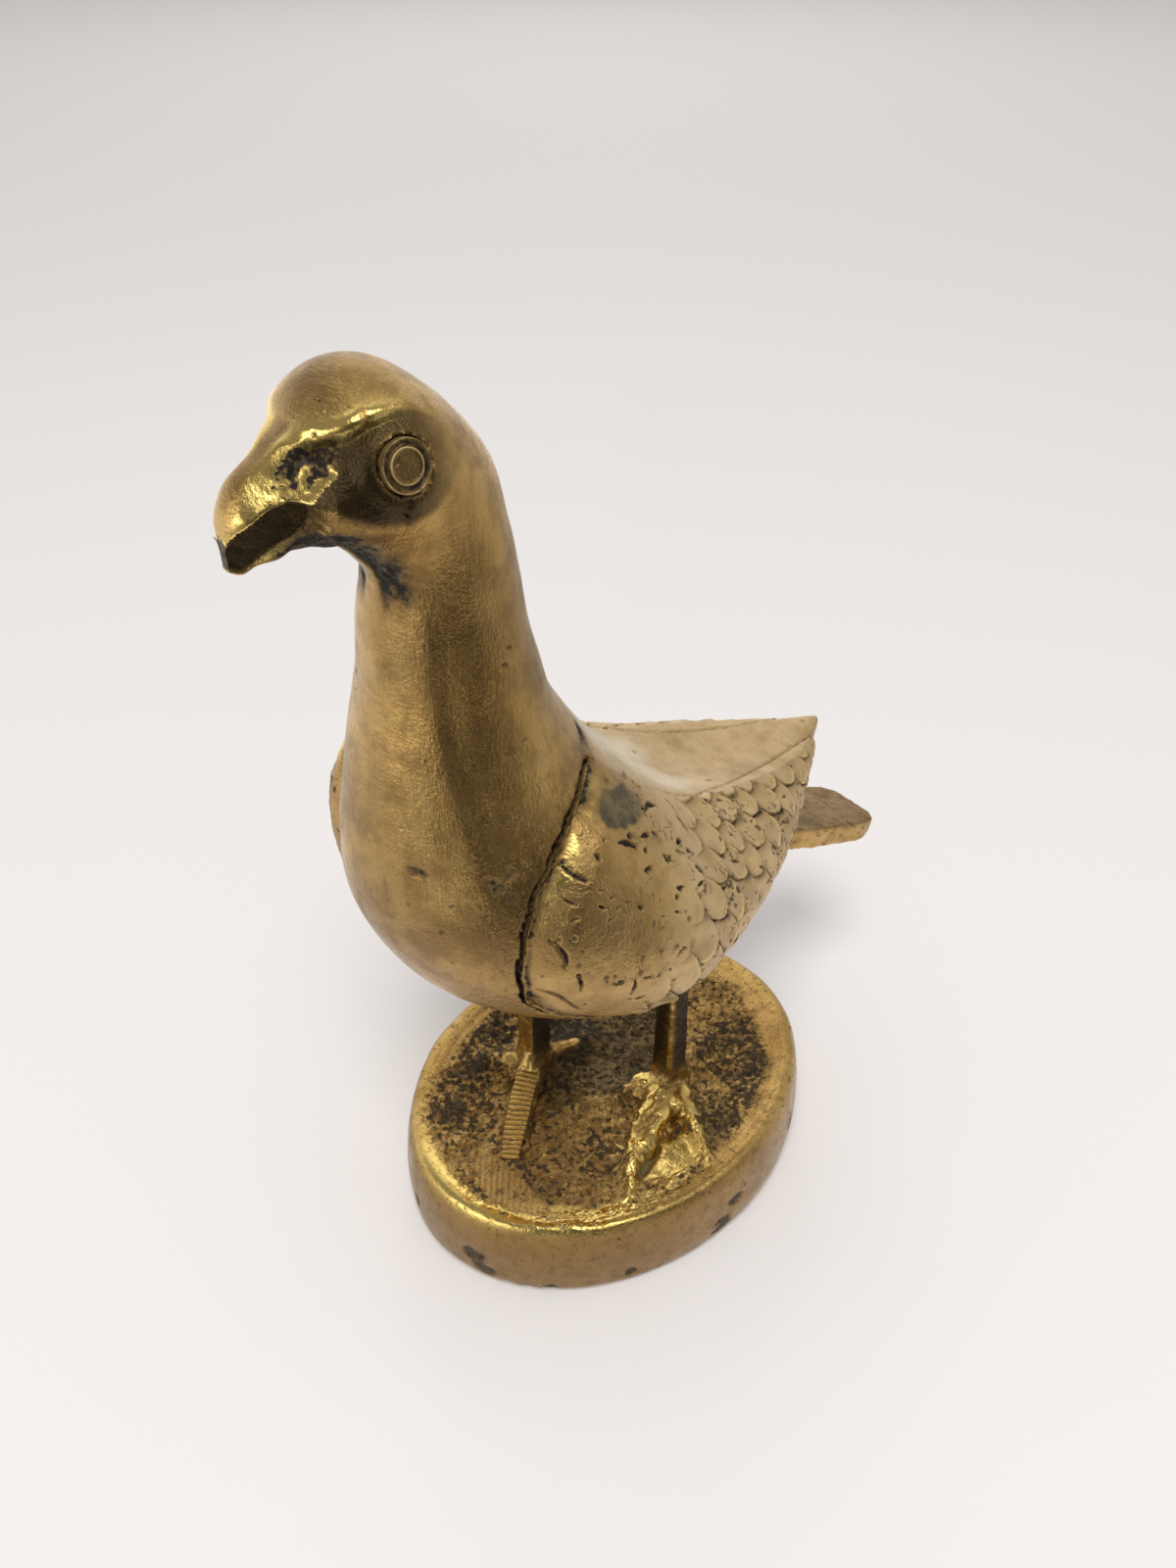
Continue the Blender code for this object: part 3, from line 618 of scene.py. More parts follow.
    # scattered casting pits, larger dark spots on the breast
    for size, seed, share, depth, rad in ((4.4, 77, 0.26, 0.22, 0.07), (2.0, 78, 0.26, 0.14, 0.085)):
        dd, hole = pits(v, size, seed, share, depth, rad)
        d += dd
        dirt_and_shade += 0.9 * hole
    for cy, cz, r in ((-25.4, 71.4, 0.95), (-23.9, 72.6, 0.5), (-30.7, 72.7, 0.55), (-21.5, 84.0, 0.3), (-20.4, 92.0, 0.3),
                      (-19.6, 93.4, 0.22), (-24.6, 69.9, 0.45)):
        g = np.sqrt((y - cy) ** 2 + (z - cz) ** 2) / r + 0.9 * fbm(v, 0.7, 3, 91)
        spot = step(1.1, 0.7, g) * (v[:, 0] > 3)
        d += -0.20 * spot
        dirt_and_shade += 0.8 * spot

    # pale back between the wings: painted sheen on its upward faces, with dull dust
    dust_and_sheen += step(-12.5, -6.0, y + 0.4 * (z - 72)) * step(90.0, 84.0, z) * step(0.2, 0.6, n[:, 2]) * (
        0.70 + 0.30 * step(18.0, 2.0, y) * (1 - 0.40 * step(4.5, 8.5, x)) * np.clip(1.0 + 0.8 * fbm(v, 5.0, 3, 81), 0, 1))
    tarnish_and_shade *= 1 - 0.7 * dust_and_sheen

    # flatten the unevenness where the eyes sit; thin burr round the socket
    for sign in (1, -1):
        axis = np.array([EYE_AXIS[0] * sign, EYE_AXIS[1], EYE_AXIS[2]])
        axis /= np.linalg.norm(axis)
        rel = v - np.array([EYE_AT[0] * sign, EYE_AT[1], EYE_AT[2]])
        h = rel @ axis
        flat = rel - h[:, None] * axis
        rad = np.sqrt((flat ** 2).sum(1))
        near = (np.abs(h) < 2.5) & (rad < 5)
        d = np.where(near, d * (0.25 + 0.75 * step(2.6, 4.6, rad)), d)
        burr = near * bell(rad - 2.55, 0.17) * np.clip(0.75 + 1.1 * fbm(v, 1.0, 2, 15), 0, 1.3)
        d += 0.12 * burr
        rub_and_highlight += 0.6 * np.clip(burr, 0, 1)
        dirt_and_shade *= 1 - 0.6 * np.clip(burr, 0, 1)
        pull = near * (h > -1.4) * (0.28 + 0.10 * step(2.75, 2.5, rad)) * step(3.3, 2.6, rad)
        c.v -= flat * (pull / np.maximum(rad, 0.1))[:, None]
    c.push(d * out, n)

    # filed bevel along the brow and the edge of the beak, rubbed bright with a painted highlight
    v = c.v
    x, y, z = np.abs(v[:, 0]), v[:, 1], v[:, 2]
    line = np.array(BROW)
    length = np.concatenate([[0], np.cumsum(np.linalg.norm(np.diff(line, axis=0), axis=1))])
    dist, run = along(v[:, 1:3], BROW)
    near = hit & (z > 102) & (dist < 0.35)
    marks = np.arange(0.5, length[-1], 1.0)
    wide = [x[near & (np.abs(run - m) < 0.8)].mean() for m in marks]
    wide = np.polyval(np.polyfit(marks, wide, 5), marks)
    bevel = np.array([0.72, -0.24, 0.65])
    off = (x - np.interp(run, marks, wide)) * bevel[0] + (y - np.interp(run, length, line[:, 0])) * bevel[1] \
        + (z - np.interp(run, length, line[:, 1])) * bevel[2]
    depth = np.interp(run, (0.0, 1.5, 6.8, 10.0, 11.5, 25.0), (0.0, 0.27, 0.22, 0.06, -0.7, -0.7))
    over = off + depth + 0.02 * fbm(np.column_stack([run, 0 * run, 0 * run]), 0.3, 2, 17) - 0.10
    near = hit & (z > 102) & (dist < 2.6) & (x > 0.3) & (y < -20)
    over = np.where(run < 13.0, over, -1.0)
    cut = np.where(near, np.clip(over, 0, 1.0) * step(2.6, 1.9, dist) * step(13.0, 11.5, run), 0.0)
    v -= cut[:, None] * bevel * np.column_stack([np.sign(v[:, 0]), np.ones(len(v)), np.ones(len(v))])
    hatch = 0.80 + 0.4 * fbm(np.column_stack([run, 0.1 * dist, 0 * run]), 0.25, 2, 18)
    rub_and_highlight = np.maximum(rub_and_highlight, np.where(near, step(-0.05, 0.12, over) * np.clip(hatch, 0, 1), 0.0))
    film_and_shade *= 1 - np.where(near, step(0.0, 0.06, over), 0.0)

    # the beak's side is smoother than the rest
    c.smooth(5, 0.9 * hit * step(-33.8, -35.4, v[:, 1]) * step(104.5, 106.0, v[:, 2]) * (1 - patch))

    # mouth: a flat filed cut on each side of the beak, painted dark as shade, with thin bright worn lines along its
    # edges that are partly painted highlights
    v = c.v
    x, y, z = np.abs(v[:, 0]), v[:, 1], v[:, 2]
    top = np.interp(y, [p[0] for p in MOUTH_TOP], [p[1] for p in MOUTH_TOP])
    bottom = np.interp(y, [p[0] for p in MOUTH_LOW], [p[1] for p in MOUTH_LOW])
    cut = step(-0.05, 0.22, top - z) * step(-0.5, 0.1, z - bottom) * step(-33.6, -34.6, y)
    plane = 0.55 + 0.44 * (y + 40.5) + 0.06 * (z - 107)
    flat = np.minimum(x, plane + 0.07 * fbm(v, 0.9, 2, 61))
    v[:, 0] = np.sign(v[:, 0]) * (x + cut * (flat - x))
    fade = step(-33.8, -36.5, y - 0.5 * (z - 108))
    film_and_shade = np.maximum(film_and_shade * (1 - cut), cut * np.clip(0.66 + 0.34 * fade + 0.12 * fbm(v, 1.6, 3, 62), 0, 1))
    dirt_and_shade *= 1 - 0.8 * cut
    tarnish_and_shade = np.maximum(tarnish_and_shade, cut)
    rub_and_highlight = rub_and_highlight * (1 - cut) + 0.6 * bell(z - top - 0.25, 0.28) * step(-35.0, -36.5, y) * step(0.2, 0.8, x)
    rub_and_highlight += 0.35 * bell(z - bottom + 0.15, 0.22) * step(-35.0, -36.5, y) * step(0.2, 0.8, x)
    back = seat()
    c.at = {"dirt_and_shade": dirt_and_shade * out + (1 - out) * 0.85 * ~back, "rub_and_highlight": rub_and_highlight * out, "tarnish_and_shade": tarnish_and_shade * out,
            "dust_and_sheen": np.where(back & ~hit, 1.0, dust_and_sheen * out), "pitted": pitted * out, "film_and_shade": film_and_shade * out}
    return c


# ------------------------------------------------------------------ wings
def work_wing(side):
    sign = 1 if side == "left" else -1
    seed = 100 if sign > 0 else 200
    c = Cast(side + "_wing", 0.37)
    c.smooth(2)
    tree, flank_skin = skin(WING_PROUD[side]), skin()

    def seat():
        return (c.v[:, 1] > -9) & (c.v[:, 2] > 46)

    hit = c.lay_on(tree, 0.7, seat())
    c.refine(hit)
    hit = c.lay_on(tree, 0.7, seat())
    c.smooth(4, np.where(hit, 0.15, np.where(seat(), 0.3, 1.0)))
    cr = crest(WING_PROUD[side])
    order = np.argsort(cr[:, 1])
    # the strip of back that the wing carries runs level into the body's back
    ridge = np.interp(c.v[:, 1], cr[order, 1], cr[order, 0])
    strip = hit & (c.v[:, 1] > -9) & (ridge - np.abs(c.v[:, 0]) > 0.1)
    _, foot, _ = c.over(flank_skin, strip)
    mixed = (strip * step(0.1, 2.2, ridge - np.abs(c.v[:, 0])))[:, None]
    c.v += mixed * (foot - c.v)
    close_back_joint(c, hit, tree)
    # the front edge closes up to the body
    df, rf = along(c.v[:, 1:3], WING_FRONT[side])
    n = c.normals()
    c.push(np.where(~hit & (df < 1.6) & (n[:, 1] + 0.6 * n[:, 2] < -0.3), 0.14, 0.0), n)

    # the front edge is dressed down to the flank of the body
    df, rf = along(c.v[:, 1:3], WING_FRONT[side])
    if sign > 0:
        near = (df < 4.0) & (np.abs(c.v[:, 0]) > 5)
        rise, _, _ = c.over(flank_skin, near)
        for i in np.nonzero(near & (rise > 0.03))[0]:
            p = Vector(c.v[i])
            q, _, _, dist = flank_skin.ray_cast(p, Vector((-sign, 0, 0)), 8)
            if q is not None:
                keep = float(step(0.0, 3.6, df[i])) if hit[i] else 0.0
                c.v[i, 0] -= sign * (dist - 0.10) * (1 - keep)

    v = c.v
    x, yz = np.abs(v[:, 0]), v[:, 1:3]
    y, z = v[:, 1], v[:, 2]
    q = v * np.array([sign, 1, 1])
    out = hit.astype(float)
    d = 0.13 * fbm(q, 9, 2, seed + 1) + 0.06 * fbm(q, 2.6, 3, seed + 2)
    dirt_and_shade, rub_and_highlight, tarnish_and_shade, pitted, dust_and_sheen = (np.zeros(len(v)) for _ in range(5))
    wob = fbm(q, 1.1, 3, seed + 3)
    n = c.normals()

    # seam dirt, rounded lower edge, painted highlight on the shoulder beside the front edge
    dl, rl = along(yz, WING_LOWER[side])
    high = step(72.0, 77.5, z)
    d += -(0.25 if sign > 0 else 0.8) * bell(df, 0.7) - 0.5 * bell(dl, 0.8)
    dirt_and_shade += np.clip(bell(df, 0.22 + 0.75 * step(73.5, 77.0, z) + 0.20 * wob) * (0.80 + 1.5 * wob), 0, 1)
    dirt_and_shade += np.clip(bell(dl, 0.35) * (0.45 + 0.9 * wob), 0, 1)
    rub_and_highlight += 0.9 * bell(df - 1.0, 0.6) * step(67.0, 71.5, z) * step(77.5, 75.0, z) * step(-0.25, 0.3, fbm(q, 1.8, 2, seed + 4))

    # where the flank ends and the dished back begins
    cx = np.interp(y, cr[order, 1], cr[order, 0])
    cz = np.interp(y, cr[order, 1], cr[order, 2])
    flank = step(-0.2, 0.8, np.where(y > -8, x - cx, 2.0))

    # feather scales over the rear half: rounded plates in slanting columns, each
    # lapped over the next one behind, with a raised rear rim and a groove behind it
    lower = np.interp(y, [p[0] for p in WING_LOWER[side]], [p[1] for p in WING_LOWER[side]])
    bins = np.arange(-30.0, 46.0, 1.5)
    widest = np.interp(y, bins, [max(x[np.abs(y - m) < 1.5], default=0.0) for m in bins])
    girth = np.where(n[:, 2] < 0, 2 * widest - x, x)
    u = 0.86 * y - 0.50 * z + 0.49 * x
    w = 0.65 * girth - 0.62 * y - 0.43 * z
    du, dv = 4.1, 3.75
    sc = np.full(len(v), 1.0)
    gap = np.full(len(v), 9.0)
    shade = np.zeros(len(v))
    zero = np.zeros(len(v), np.int64)
    for k in range(12, -1, -1):
        uc = -30.2 + du * k
        off = 0.5 * (k % 2)
        row = np.floor(w / dv + off)
        for dr in (-1, 0, 1):
            rr = (row + dr).astype(np.int64)
            jit = hash01(zero + k + 50, rr + 150, zero, seed)
            jit2 = hash01(zero + k + 90, rr + 150, zero, seed)
            wc = (rr + 0.5 - off) * dv + (jit - 0.5) * 0.8
            uu = (u - uc - (jit2 - 0.5) * 0.9) / (du * 1.15)
            vv = (w - wc) / (dv * (0.55 + 0.07 * jit))
            rad = np.sqrt(np.clip(uu, 0, None) ** 2 + np.abs(vv) ** 2.6) + 0.05 * wob
            take = (rad < 1.0) & (uu > -1.3)
            behind = ~take & (rad < 1.5) & (uu > -0.25)
            sc = np.where(take, 1 - rad, sc)
            shade = np.where(take, jit2, shade)
            gap = np.where(take, 9.0, np.where(behind, np.minimum(gap, rad - 1), gap))
    worn = 0.65 + 0.35 * step(-0.35, 0.35, fbm(q, 6.0, 2, seed + 5))
    zone = step(-28.0, -22.5, u + 1.6 * fbm(q, 5.0, 2, seed + 13)) * step(0.6, 2.0, z - lower) * flank * worn
    corner = step(0.05, 0.45, fbm(q, 1.6, 2, seed + 17))
    d += zone * (0.85 * step(0.85, 0.03, sc) - 0.44 - (0.24 + 0.40 * corner) * bell(gap, 0.08))
    dirt_and_shade += zone * np.clip(bell(gap, 0.095 + 0.06 * corner) * (1.05 + 0.9 * corner + 0.9 * wob), 0, 1)
    # painted highlight along each rim and painted shade on the plate just behind the groove
    rub_and_highlight += zone * 0.65 * bell(sc - 0.06, 0.06) * step(-0.35, 0.2, fbm(q, 2.0, 2, seed + 15))
    tarnish_and_shade += zone * (0.15 * (shade > 0.6) + 0.85 * step(0.45, 0.0, gap))

    # engraved line above the lower edge
    de = np.abs(dl - 2.3 - 0.25 * fbm(q, 5, 1, seed + 8))
    on = step(-0.30, 0.05, fbm(q, 6, 1, seed + 6)) * step(-24.5, -22.0, y) * step(2.0, -2.0, y)
    line = bell(de, 0.17 + 0.08 * wob) * on
    d += -0.32 * line
    dirt_and_shade += 0.95 * line

    # cracks and punched strokes on the front half
    rng = np.random.default_rng(seed)
    strokes = [(cy, cz_, math.radians(a), ln, 0.24, 0.15) for cy, cz_, a, ln in CRACKS]
    for i in range(60):
        strokes.append((rng.uniform(-23, 8), rng.uniform(48, 73), rng.normal(-0.9, 0.6), rng.uniform(0.2, 0.75),
                        rng.uniform(0.14, 0.26), rng.uniform(-0.35, 0.35)))
    for cy, cz_, a_, ln, wd, bend in strokes:
        ty, tz = math.cos(a_), math.sin(a_)
        a = (y - cy) * ty + (z - cz_) * tz
        b = -(y - cy) * tz + (z - cz_) * ty + bend * a * a + 0.16 * wob
        width = wd * (1.15 - 0.80 * np.clip(np.abs(a) / ln, 0, 1) + 0.6 * wob)
        m = step(1.0, 0.55, np.abs(b) / np.maximum(width, 0.03)) * step(ln, ln * 0.8, np.abs(a)) * (x > 5)
        d += -0.30 * m
        dirt_and_shade += m
    pitted += 0.85 * step(-0.15, 0.30, fbm(q, 7, 2, seed + 7) + 0.15 * (y > -14)) * flank
    for size, sd, share, depth, rad in ((2.6, 9, 0.46, 0.26, 0.13), (1.5, 10, 0.40, 0.20, 0.15)):
        dd, hole = pits(q, size, seed + sd, share, depth, rad)
        d += dd * flank
        dirt_and_shade += 0.95 * hole * flank
    # bright brown front, dull pale middle, underside and back; the strip along the body's back is pale with painted
    # sheen
    pale = step(-13.0, -2.0, y - 0.35 * (z - 66) + 2.0 * fbm(q, 6, 2, seed + 12))
    dust_and_sheen += 0.76 * pale + 0.14 * (1 - pale)
    dust_and_sheen += np.where(y > -9, step(-0.8, 1.2, cx - x), 0.0) * (0.70 + 0.30 * step(18.0, 2.0, y) - dust_and_sheen)
    tarnish_and_shade += (1 - pale) * (0.18 + 0.8 * bell(np.hypot((y + 20.0) / 1.2, (z - 64.5) / 1.6), 4.0) * step(-0.4, 0.3, fbm(q, 6, 2, seed + 11)))
    tarnish_and_shade += 0.30 * step(0.1, 0.5, fbm(q, 3.2, 3, seed + 14))

    green = np.zeros(len(v))
    if sign > 0:
        rel = v - np.array([13.1, -10.6, 73.6])
        g = np.hypot((rel @ np.array([0.65, 0.76, 0.0])) / 2.15, (rel @ np.array([-0.47, 0.40, 0.79])) / 2.25)
        green = step(1.12, 0.92, g + 0.30 * fbm(q, 1.3, 3, 300)) * (x > 8)
    else:
        # coarse, pitted sand-cast front
        front = step(7.0, 3.0, df)
        d += front * 0.22 * fbm(q, 0.9, 3, seed + 16)
        dirt_and_shade += front * np.clip(-1.6 * fbm(q, 0.9, 3, seed + 16) - 0.25, 0, 0.85)
        dust_and_sheen = np.maximum(dust_and_sheen, 0.8 * front)
        tarnish_and_shade += 0.6 * front
        pitted += front
    c.push(d * out)
    if sign < 0:
        c.smooth(5, step(1.4, 0.5, df))
    # only the part of the edge that is let into the body is black
    rise, _, _ = c.over(flank_skin, ~hit)
    deep = np.where(hit, 0.0, step(0.15, -0.35, rise))
    back = seat() & ~hit
    c.at = {"dirt_and_shade": dirt_and_shade * out + deep * 0.9 * ~back, "rub_and_highlight": rub_and_highlight * out, "tarnish_and_shade": tarnish_and_shade * out + 0.4 * (1 - out) * ~back, "green": green,
            "dust_and_sheen": np.where(back, 1.0, dust_and_sheen * out), "pitted": pitted * out + (1 - out) * ~back}
    return c


# ------------------------------------------------------------------ base and legs
def work_base():
    c = Cast("base", 0.405)
    c.smooth(10)
    c.refine((c.v[:, 2] > 9) & (np.hypot(c.v[:, 0] / 24, c.v[:, 1] / 30.5) < 0.93))
    v = c.v
    x, y, z = v.T
    r = np.hypot(x / 24, y / 30.5)
    ang = np.arctan2(y / 30.5, x / 24)
    ring = np.column_stack([np.cos(ang) * 2, np.sin(ang) * 2, np.zeros(len(v))])
    n = c.normals()
    up = step(0.2, 0.7, n[:, 2])
    front = step(-0.1, 0.8, (x * 0.35 - y * 0.94) / 28)
    edge = 0.80 + 0.10 * front + 0.04 * fbm(ring, 0.7, 3, 400) + 0.03 * fbm(v, 2.0, 3, 399)
    floor = step(0.04, -0.04, r - edge) * up * (z > 8)
    wall = step(0.93, 0.97, r)
    d = 0.36 * fbm(ring, 1.0, 2, 401) * step(0.7, 0.95, r) * step(0.5, 3.0, z)
    d += 0.13 * fbm(v, 5, 3, 402) * step(0.5, 2.0, z)

    # rough sand-cast floor that swells round the toes and between the feet
    swell = np.zeros(len(v))
    for side in TOES:
        for toe in TOES[side]:
            swell = np.maximum(swell, bell(along(v[:, :2], toe)[0], 2.4) * (0.15 if toe is TOES["right"][0] else 1.0))
    mound = bell(x - 1.0, 8.0) * bell(y + 1.0, 8.5)
    g1, g2, g3 = fbm(v, 2.2, 4, 403, 0.6), fbm(v, 0.75, 3, 404, 0.6), fbm(v, 0.42, 2, 405)
    crust = step(-0.15, 0.35, fbm(v, 9.0, 2, 408) + 0.9 * (np.abs(x + 1.0) / 20) ** 2 - 0.45 * front)
    burnish = np.maximum(bell(np.hypot((x - 14.5) / 1.0, (y + 4.0) / 1.3), 5.0),
                         0.6 * bell(np.hypot(x - 3.5, (y + 4.5) / 1.2), 2.0))
    lift = floor * (1.7 * swell + 1.4 * mound * (1 - 0.5 * swell) + (0.34 + 0.5 * burnish) * g1 + 0.22 * g2 + 0.08 * g3)
    # two toes of the left foot run out into the rim, with smooth metal between them
    runs = np.maximum(bell(along(v[:, :2], ((12.6, -5.6), (14.8, -8.6), (17.6, -11.4)))[0], 0.95),
                      bell(along(v[:, :2], ((14.0, 2.6), (17.0, 1.4), (20.0, 0.0)))[0], 0.9)) * (z > 8)
    web = step(1.15, 0.75, np.hypot((x - 16.6) / 3.4, (y + 3.6) / 5.4) + 0.25 * g1) * (z > 8) * step(0.9, 0.8, r)
    split = bell(along(v[:, :2], ((13.6, -3.4), (14.9, -5.6), (15.9, -8.4)))[0], 0.55 + 0.4 * g1) * (z > 8)
    lift = lift * (1 - 0.92 * web) + runs * (1.3 + 0.8 * g1) + 0.9 * web - 0.7 * split
    dirt_and_shade = floor * np.clip(0.04 + 0.16 * crust - 0.25 * burnish - (0.35 + 0.35 * crust) * g2 - 0.30 * g3 - 0.2 * g1, 0, 0.8)
    # painted shade on the floor under the belly, with its rubbed bright spots taken away
    deep, across = 0.651 * y - 0.759 * x, 0.651 * x + 0.759 * y
    belly_shade = step(-8.0, -2.5, deep + 2.5 * g1) * step(-13.0, -8.5, across) * step(11.5, 7.5, across)
    film_and_shade = floor * np.clip(0.86 * belly_shade - 0.20 * g2, 0, 0.9)
    for cx, cy, rr in ((-9.0, -21.0, 2.2), (-13.0, -15.0, 2.6), (17.0, 6.5, 1.5), (16.0, 12.0, 2.2), (-16.5, -7.0, 2.4), (12.5, 17.0, 2.2)):
        g = np.hypot(x - cx, y - cy) / rr + 0.9 * g1 + 0.8 * g2
        dirt_and_shade += floor * 0.45 * step(1.2, 0.6, g)
        crust = np.maximum(crust, step(1.5, 0.7, g))
    rub_and_highlight = floor * np.clip((1.2 + 1.6 * burnish) * g2 + 0.5 * g1 - 0.56 + 0.35 * burnish, 0, 1)
    rub_and_highlight *= 1 - belly_shade
    rub_and_highlight = np.maximum(rub_and_highlight * (1 - web), np.maximum(web * np.clip(0.75 + 0.7 * g2, 0, 1), runs * np.clip(0.9 + 0.8 * g2, 0, 1)))
    dirt_and_shade = np.maximum(dirt_and_shade * (1 - 0.9 * np.maximum(web, runs)), 0.6 * split)
    # filed flat beside the long toe, with strokes
    zone = step(1.2, 0.7, np.hypot((x - 5.5) / 7.0, (y + 22.3) / 2.8)) * (z > 9) * up
    stroke = np.abs((((x * 0.62 + y * 0.78 + 0.08 * g1) / 0.75) % 1) * 2 - 1)
    lift = lift * (1 - zone) - zone * 0.07 * stroke
    dirt_and_shade = dirt_and_shade * (1 - zone) + zone * 0.45 * step(0.72, 0.98, stroke) * step(-0.3, 0.2, g1)
    rub_and_highlight = rub_and_highlight * (1 - zone) + zone * 0.15 * step(0.4, 0.0, stroke)
    # the dish rises gently to the rim
    lift += up * (z > 8) * np.interp(r, (0.3, 0.5, 0.6, 0.7, 0.76, 0.8, 0.83, 0.86, 0.9), (0.1, 0.4, 0.7, 1.1, 1.3, 1.25, 0.95, 0.45, 0.0))
    # rim crest rubbed bright, with a painted highlight strongest at the front; dark spots on the wall
    crest_at = 0.905 + 0.012 * fbm(ring, 0.7, 2, 411)
    line = bell(r - crest_at, 0.020 + 0.012 * front) * up
    shine = step(0.50, 0.95, (x * 0.45 - y * 0.89) / 28)
    rub_and_highlight = np.maximum(rub_and_highlight, np.maximum(line, bell(r - crest_at - 0.026, 0.026)) * (0.15 + 0.95 * shine))
    d += 0.22 * line * shine
    # inner slope of the rim at the left front: polished, with a painted highlight
    slope = bell((ang + 0.62) / 0.42, 1.0) * step(0.79, 0.84, r + 0.03 * g1) * step(0.93, 0.90, r) * up
    rub_and_highlight = np.maximum(rub_and_highlight, 0.85 * slope)
    dirt_and_shade *= 1 - 0.85 * slope
    sp = np.zeros(len(v))
    for az, h, ra in ((-72, 5.6, 2.0), (-69, 3.2, 1.7), (-51, 0.9, 1.5), (-57, 0.7, 1.2), (-63, 1.0, 1.0), (-1, 3.6, 1.7), (3, 6.8, 1.2), (-100, 6.0, 0.9), (-28, 3.0, 0.8),
                      (35, 6, 1.5), (80, 4, 1.6), (130, 7, 1.3), (175, 4, 1.6), (215, 6, 1.4)):
        cxy = np.array([24 * math.cos(math.radians(az)), 30.5 * math.sin(math.radians(az))])
        g = np.sqrt(((x - cxy[0]) ** 2 + (y - cxy[1]) ** 2) + (z - h) ** 2) / ra + 0.8 * fbm(v, 1.2, 3, 406)
        sp = np.maximum(sp, step(1.1, 0.7, g))
    d += -0.14 * sp
    dirt_and_shade += 0.8 * sp
    for size, seed, share, depth, rad in ((3.0, 407, 0.35, 0.22, 0.10), (1.6, 409, 0.25, 0.16, 0.10)):
        dd, hole = pits(v, size, seed, share, depth, rad)
        d += dd * step(0.84, 0.90, r)
        dirt_and_shade += 0.9 * hole * step(0.84, 0.90, r)
    c.push(d * step(0.15, 0.8, z), n)
    c.v[:, 2] += lift
    tarnish_and_shade = floor * (0.58 - 0.40 * burnish) * (1 - web) + wall * (0.55 + 0.45 * front + 0.35 * step(-0.1, 0.4, fbm(v, 9, 3, 410)))
    tarnish_and_shade += 0.3 * (1 - floor) * (1 - wall) * step(-0.1, 0.4, fbm(v, 6, 3, 412))
    c.at = {"dirt_and_shade": dirt_and_shade, "rub_and_highlight": rub_and_highlight, "tarnish_and_shade": tarnish_and_shade, "pitted": 0.6 * floor + 0.45 * (1 - floor) * up + 0.25 * wall,
            "film_and_shade": film_and_shade, "crust": floor * (1 - zone) * (1 - np.maximum(np.maximum(web, runs), slope)) * np.clip(0.24 + 0.40 * crust + 0.22 * fbm(v, 4.0, 2, 413) - 0.25 * burnish, 0, 0.62)}
    c.at["green"] = 0.85 * split
    return c


def work_leg(side):
    c = Cast(side + "_leg", 0.22)
    c.smooth(14)
    v = c.v
    seed = 500 if side == "left" else 600
    low = step(18.0, 13.0, v[:, 2])
    lump = fbm(v, 2.2, 3, seed)
    d = (0.10 + (0.75 if side == "left" else 0.4) * low) * lump + 0.10 * fbm(v, 0.8, 3, seed + 1)
    grain = fbm(v, 1.0, 3, seed + 2)
    n = c.normals()
    dirt_and_shade = np.clip(0.35 + 1.2 * grain - 0.9 * lump, 0, 0.9) * step(15.0, 11.2, v[:, 2])
    rub_and_highlight = step(11.6, 13.2, v[:, 2]) * low * np.clip(0.30 + 1.6 * lump, 0, 1)
    tarnish_and_shade = 0.55 * (1 - low)
    film_and_shade = np.zeros(len(v))
    # painted shade on the flanks and upper end of the post
    dirt_and_shade += (1 - low) * np.clip(0.35 + 0.9 * n[:, 0] + 0.5 * n[:, 1] + 0.6 * grain, 0, 0.8)
    if side == "right":
        dt, rt = along(v[:, :2], TOES["right"][0])
        on = step(3.0, 2.3, dt) * step(2.4, 3.6, rt)
        crown = np.interp(rt, (2.0, 6.0, 11.0, 16.0), (14.4, 13.5, 12.5, 11.7))
        v[:, 2] = np.where(on > 0.5, np.minimum(v[:, 2], crown), v[:, 2])
        top = on * step(0.45, 0.10, crown - v[:, 2])
        wave = 0.22 * fbm(v, 2.5, 1, 9) + 0.12 * fbm(v, 0.9, 2, 10)
        tri = np.abs(((rt / 0.70 + wave) % 1) * 2 - 1)
        tri2 = np.abs(((rt / 0.31 + 2 * wave) % 1) * 2 - 1)
        d = d * (1 - top) - top * (0.10 * step(0.45, 0.95, tri) + 0.03 * tri2)
        dirt_and_shade = dirt_and_shade * (1 - top) + top * step(0.60, 0.95, tri) * 0.95 * step(-0.5, 0.0, grain)
        rub_and_highlight = np.maximum(rub_and_highlight * (1 - top), top * step(0.65, 0.1, tri) * 0.7)
        # filed front of the post rubbed bright as a painted highlight; painted shade on its left-facing side
        facet = step(0.5, 0.9, -n[:, 1]) * (1 - low)
        film_and_shade = 0.85 * step(0.4, 0.8, n[:, 0]) * (1 - low)
        rub_and_highlight = np.maximum(rub_and_highlight, 0.75 * facet)
        dirt_and_shade *= 1 - 0.8 * facet
        tarnish_and_shade *= 1 - facet
    else:
        # the post is painted dark as shade, with a painted highlight on its front-left edge
        film_and_shade = (1 - low) * (0.95 - 0.30 * step(0.6, 0.9, n[:, 0]))
        edge = bell(n[:, 0] - 0.72, 0.20) * step(0.0, -0.4, n[:, 1]) * (1 - low)
        rub_and_highlight = np.maximum(rub_and_highlight, 0.9 * edge * step(-0.3, 0.1, grain))
        dirt_and_shade *= 1 - 0.7 * edge
        film_and_shade *= 1 - edge
    c.push(d * step(10.75, 11.3, v[:, 2]))
    c.at = {"dirt_and_shade": dirt_and_shade, "rub_and_highlight": rub_and_highlight, "pitted": 0.6 * low, "tarnish_and_shade": tarnish_and_shade, "film_and_shade": film_and_shade}
    return c


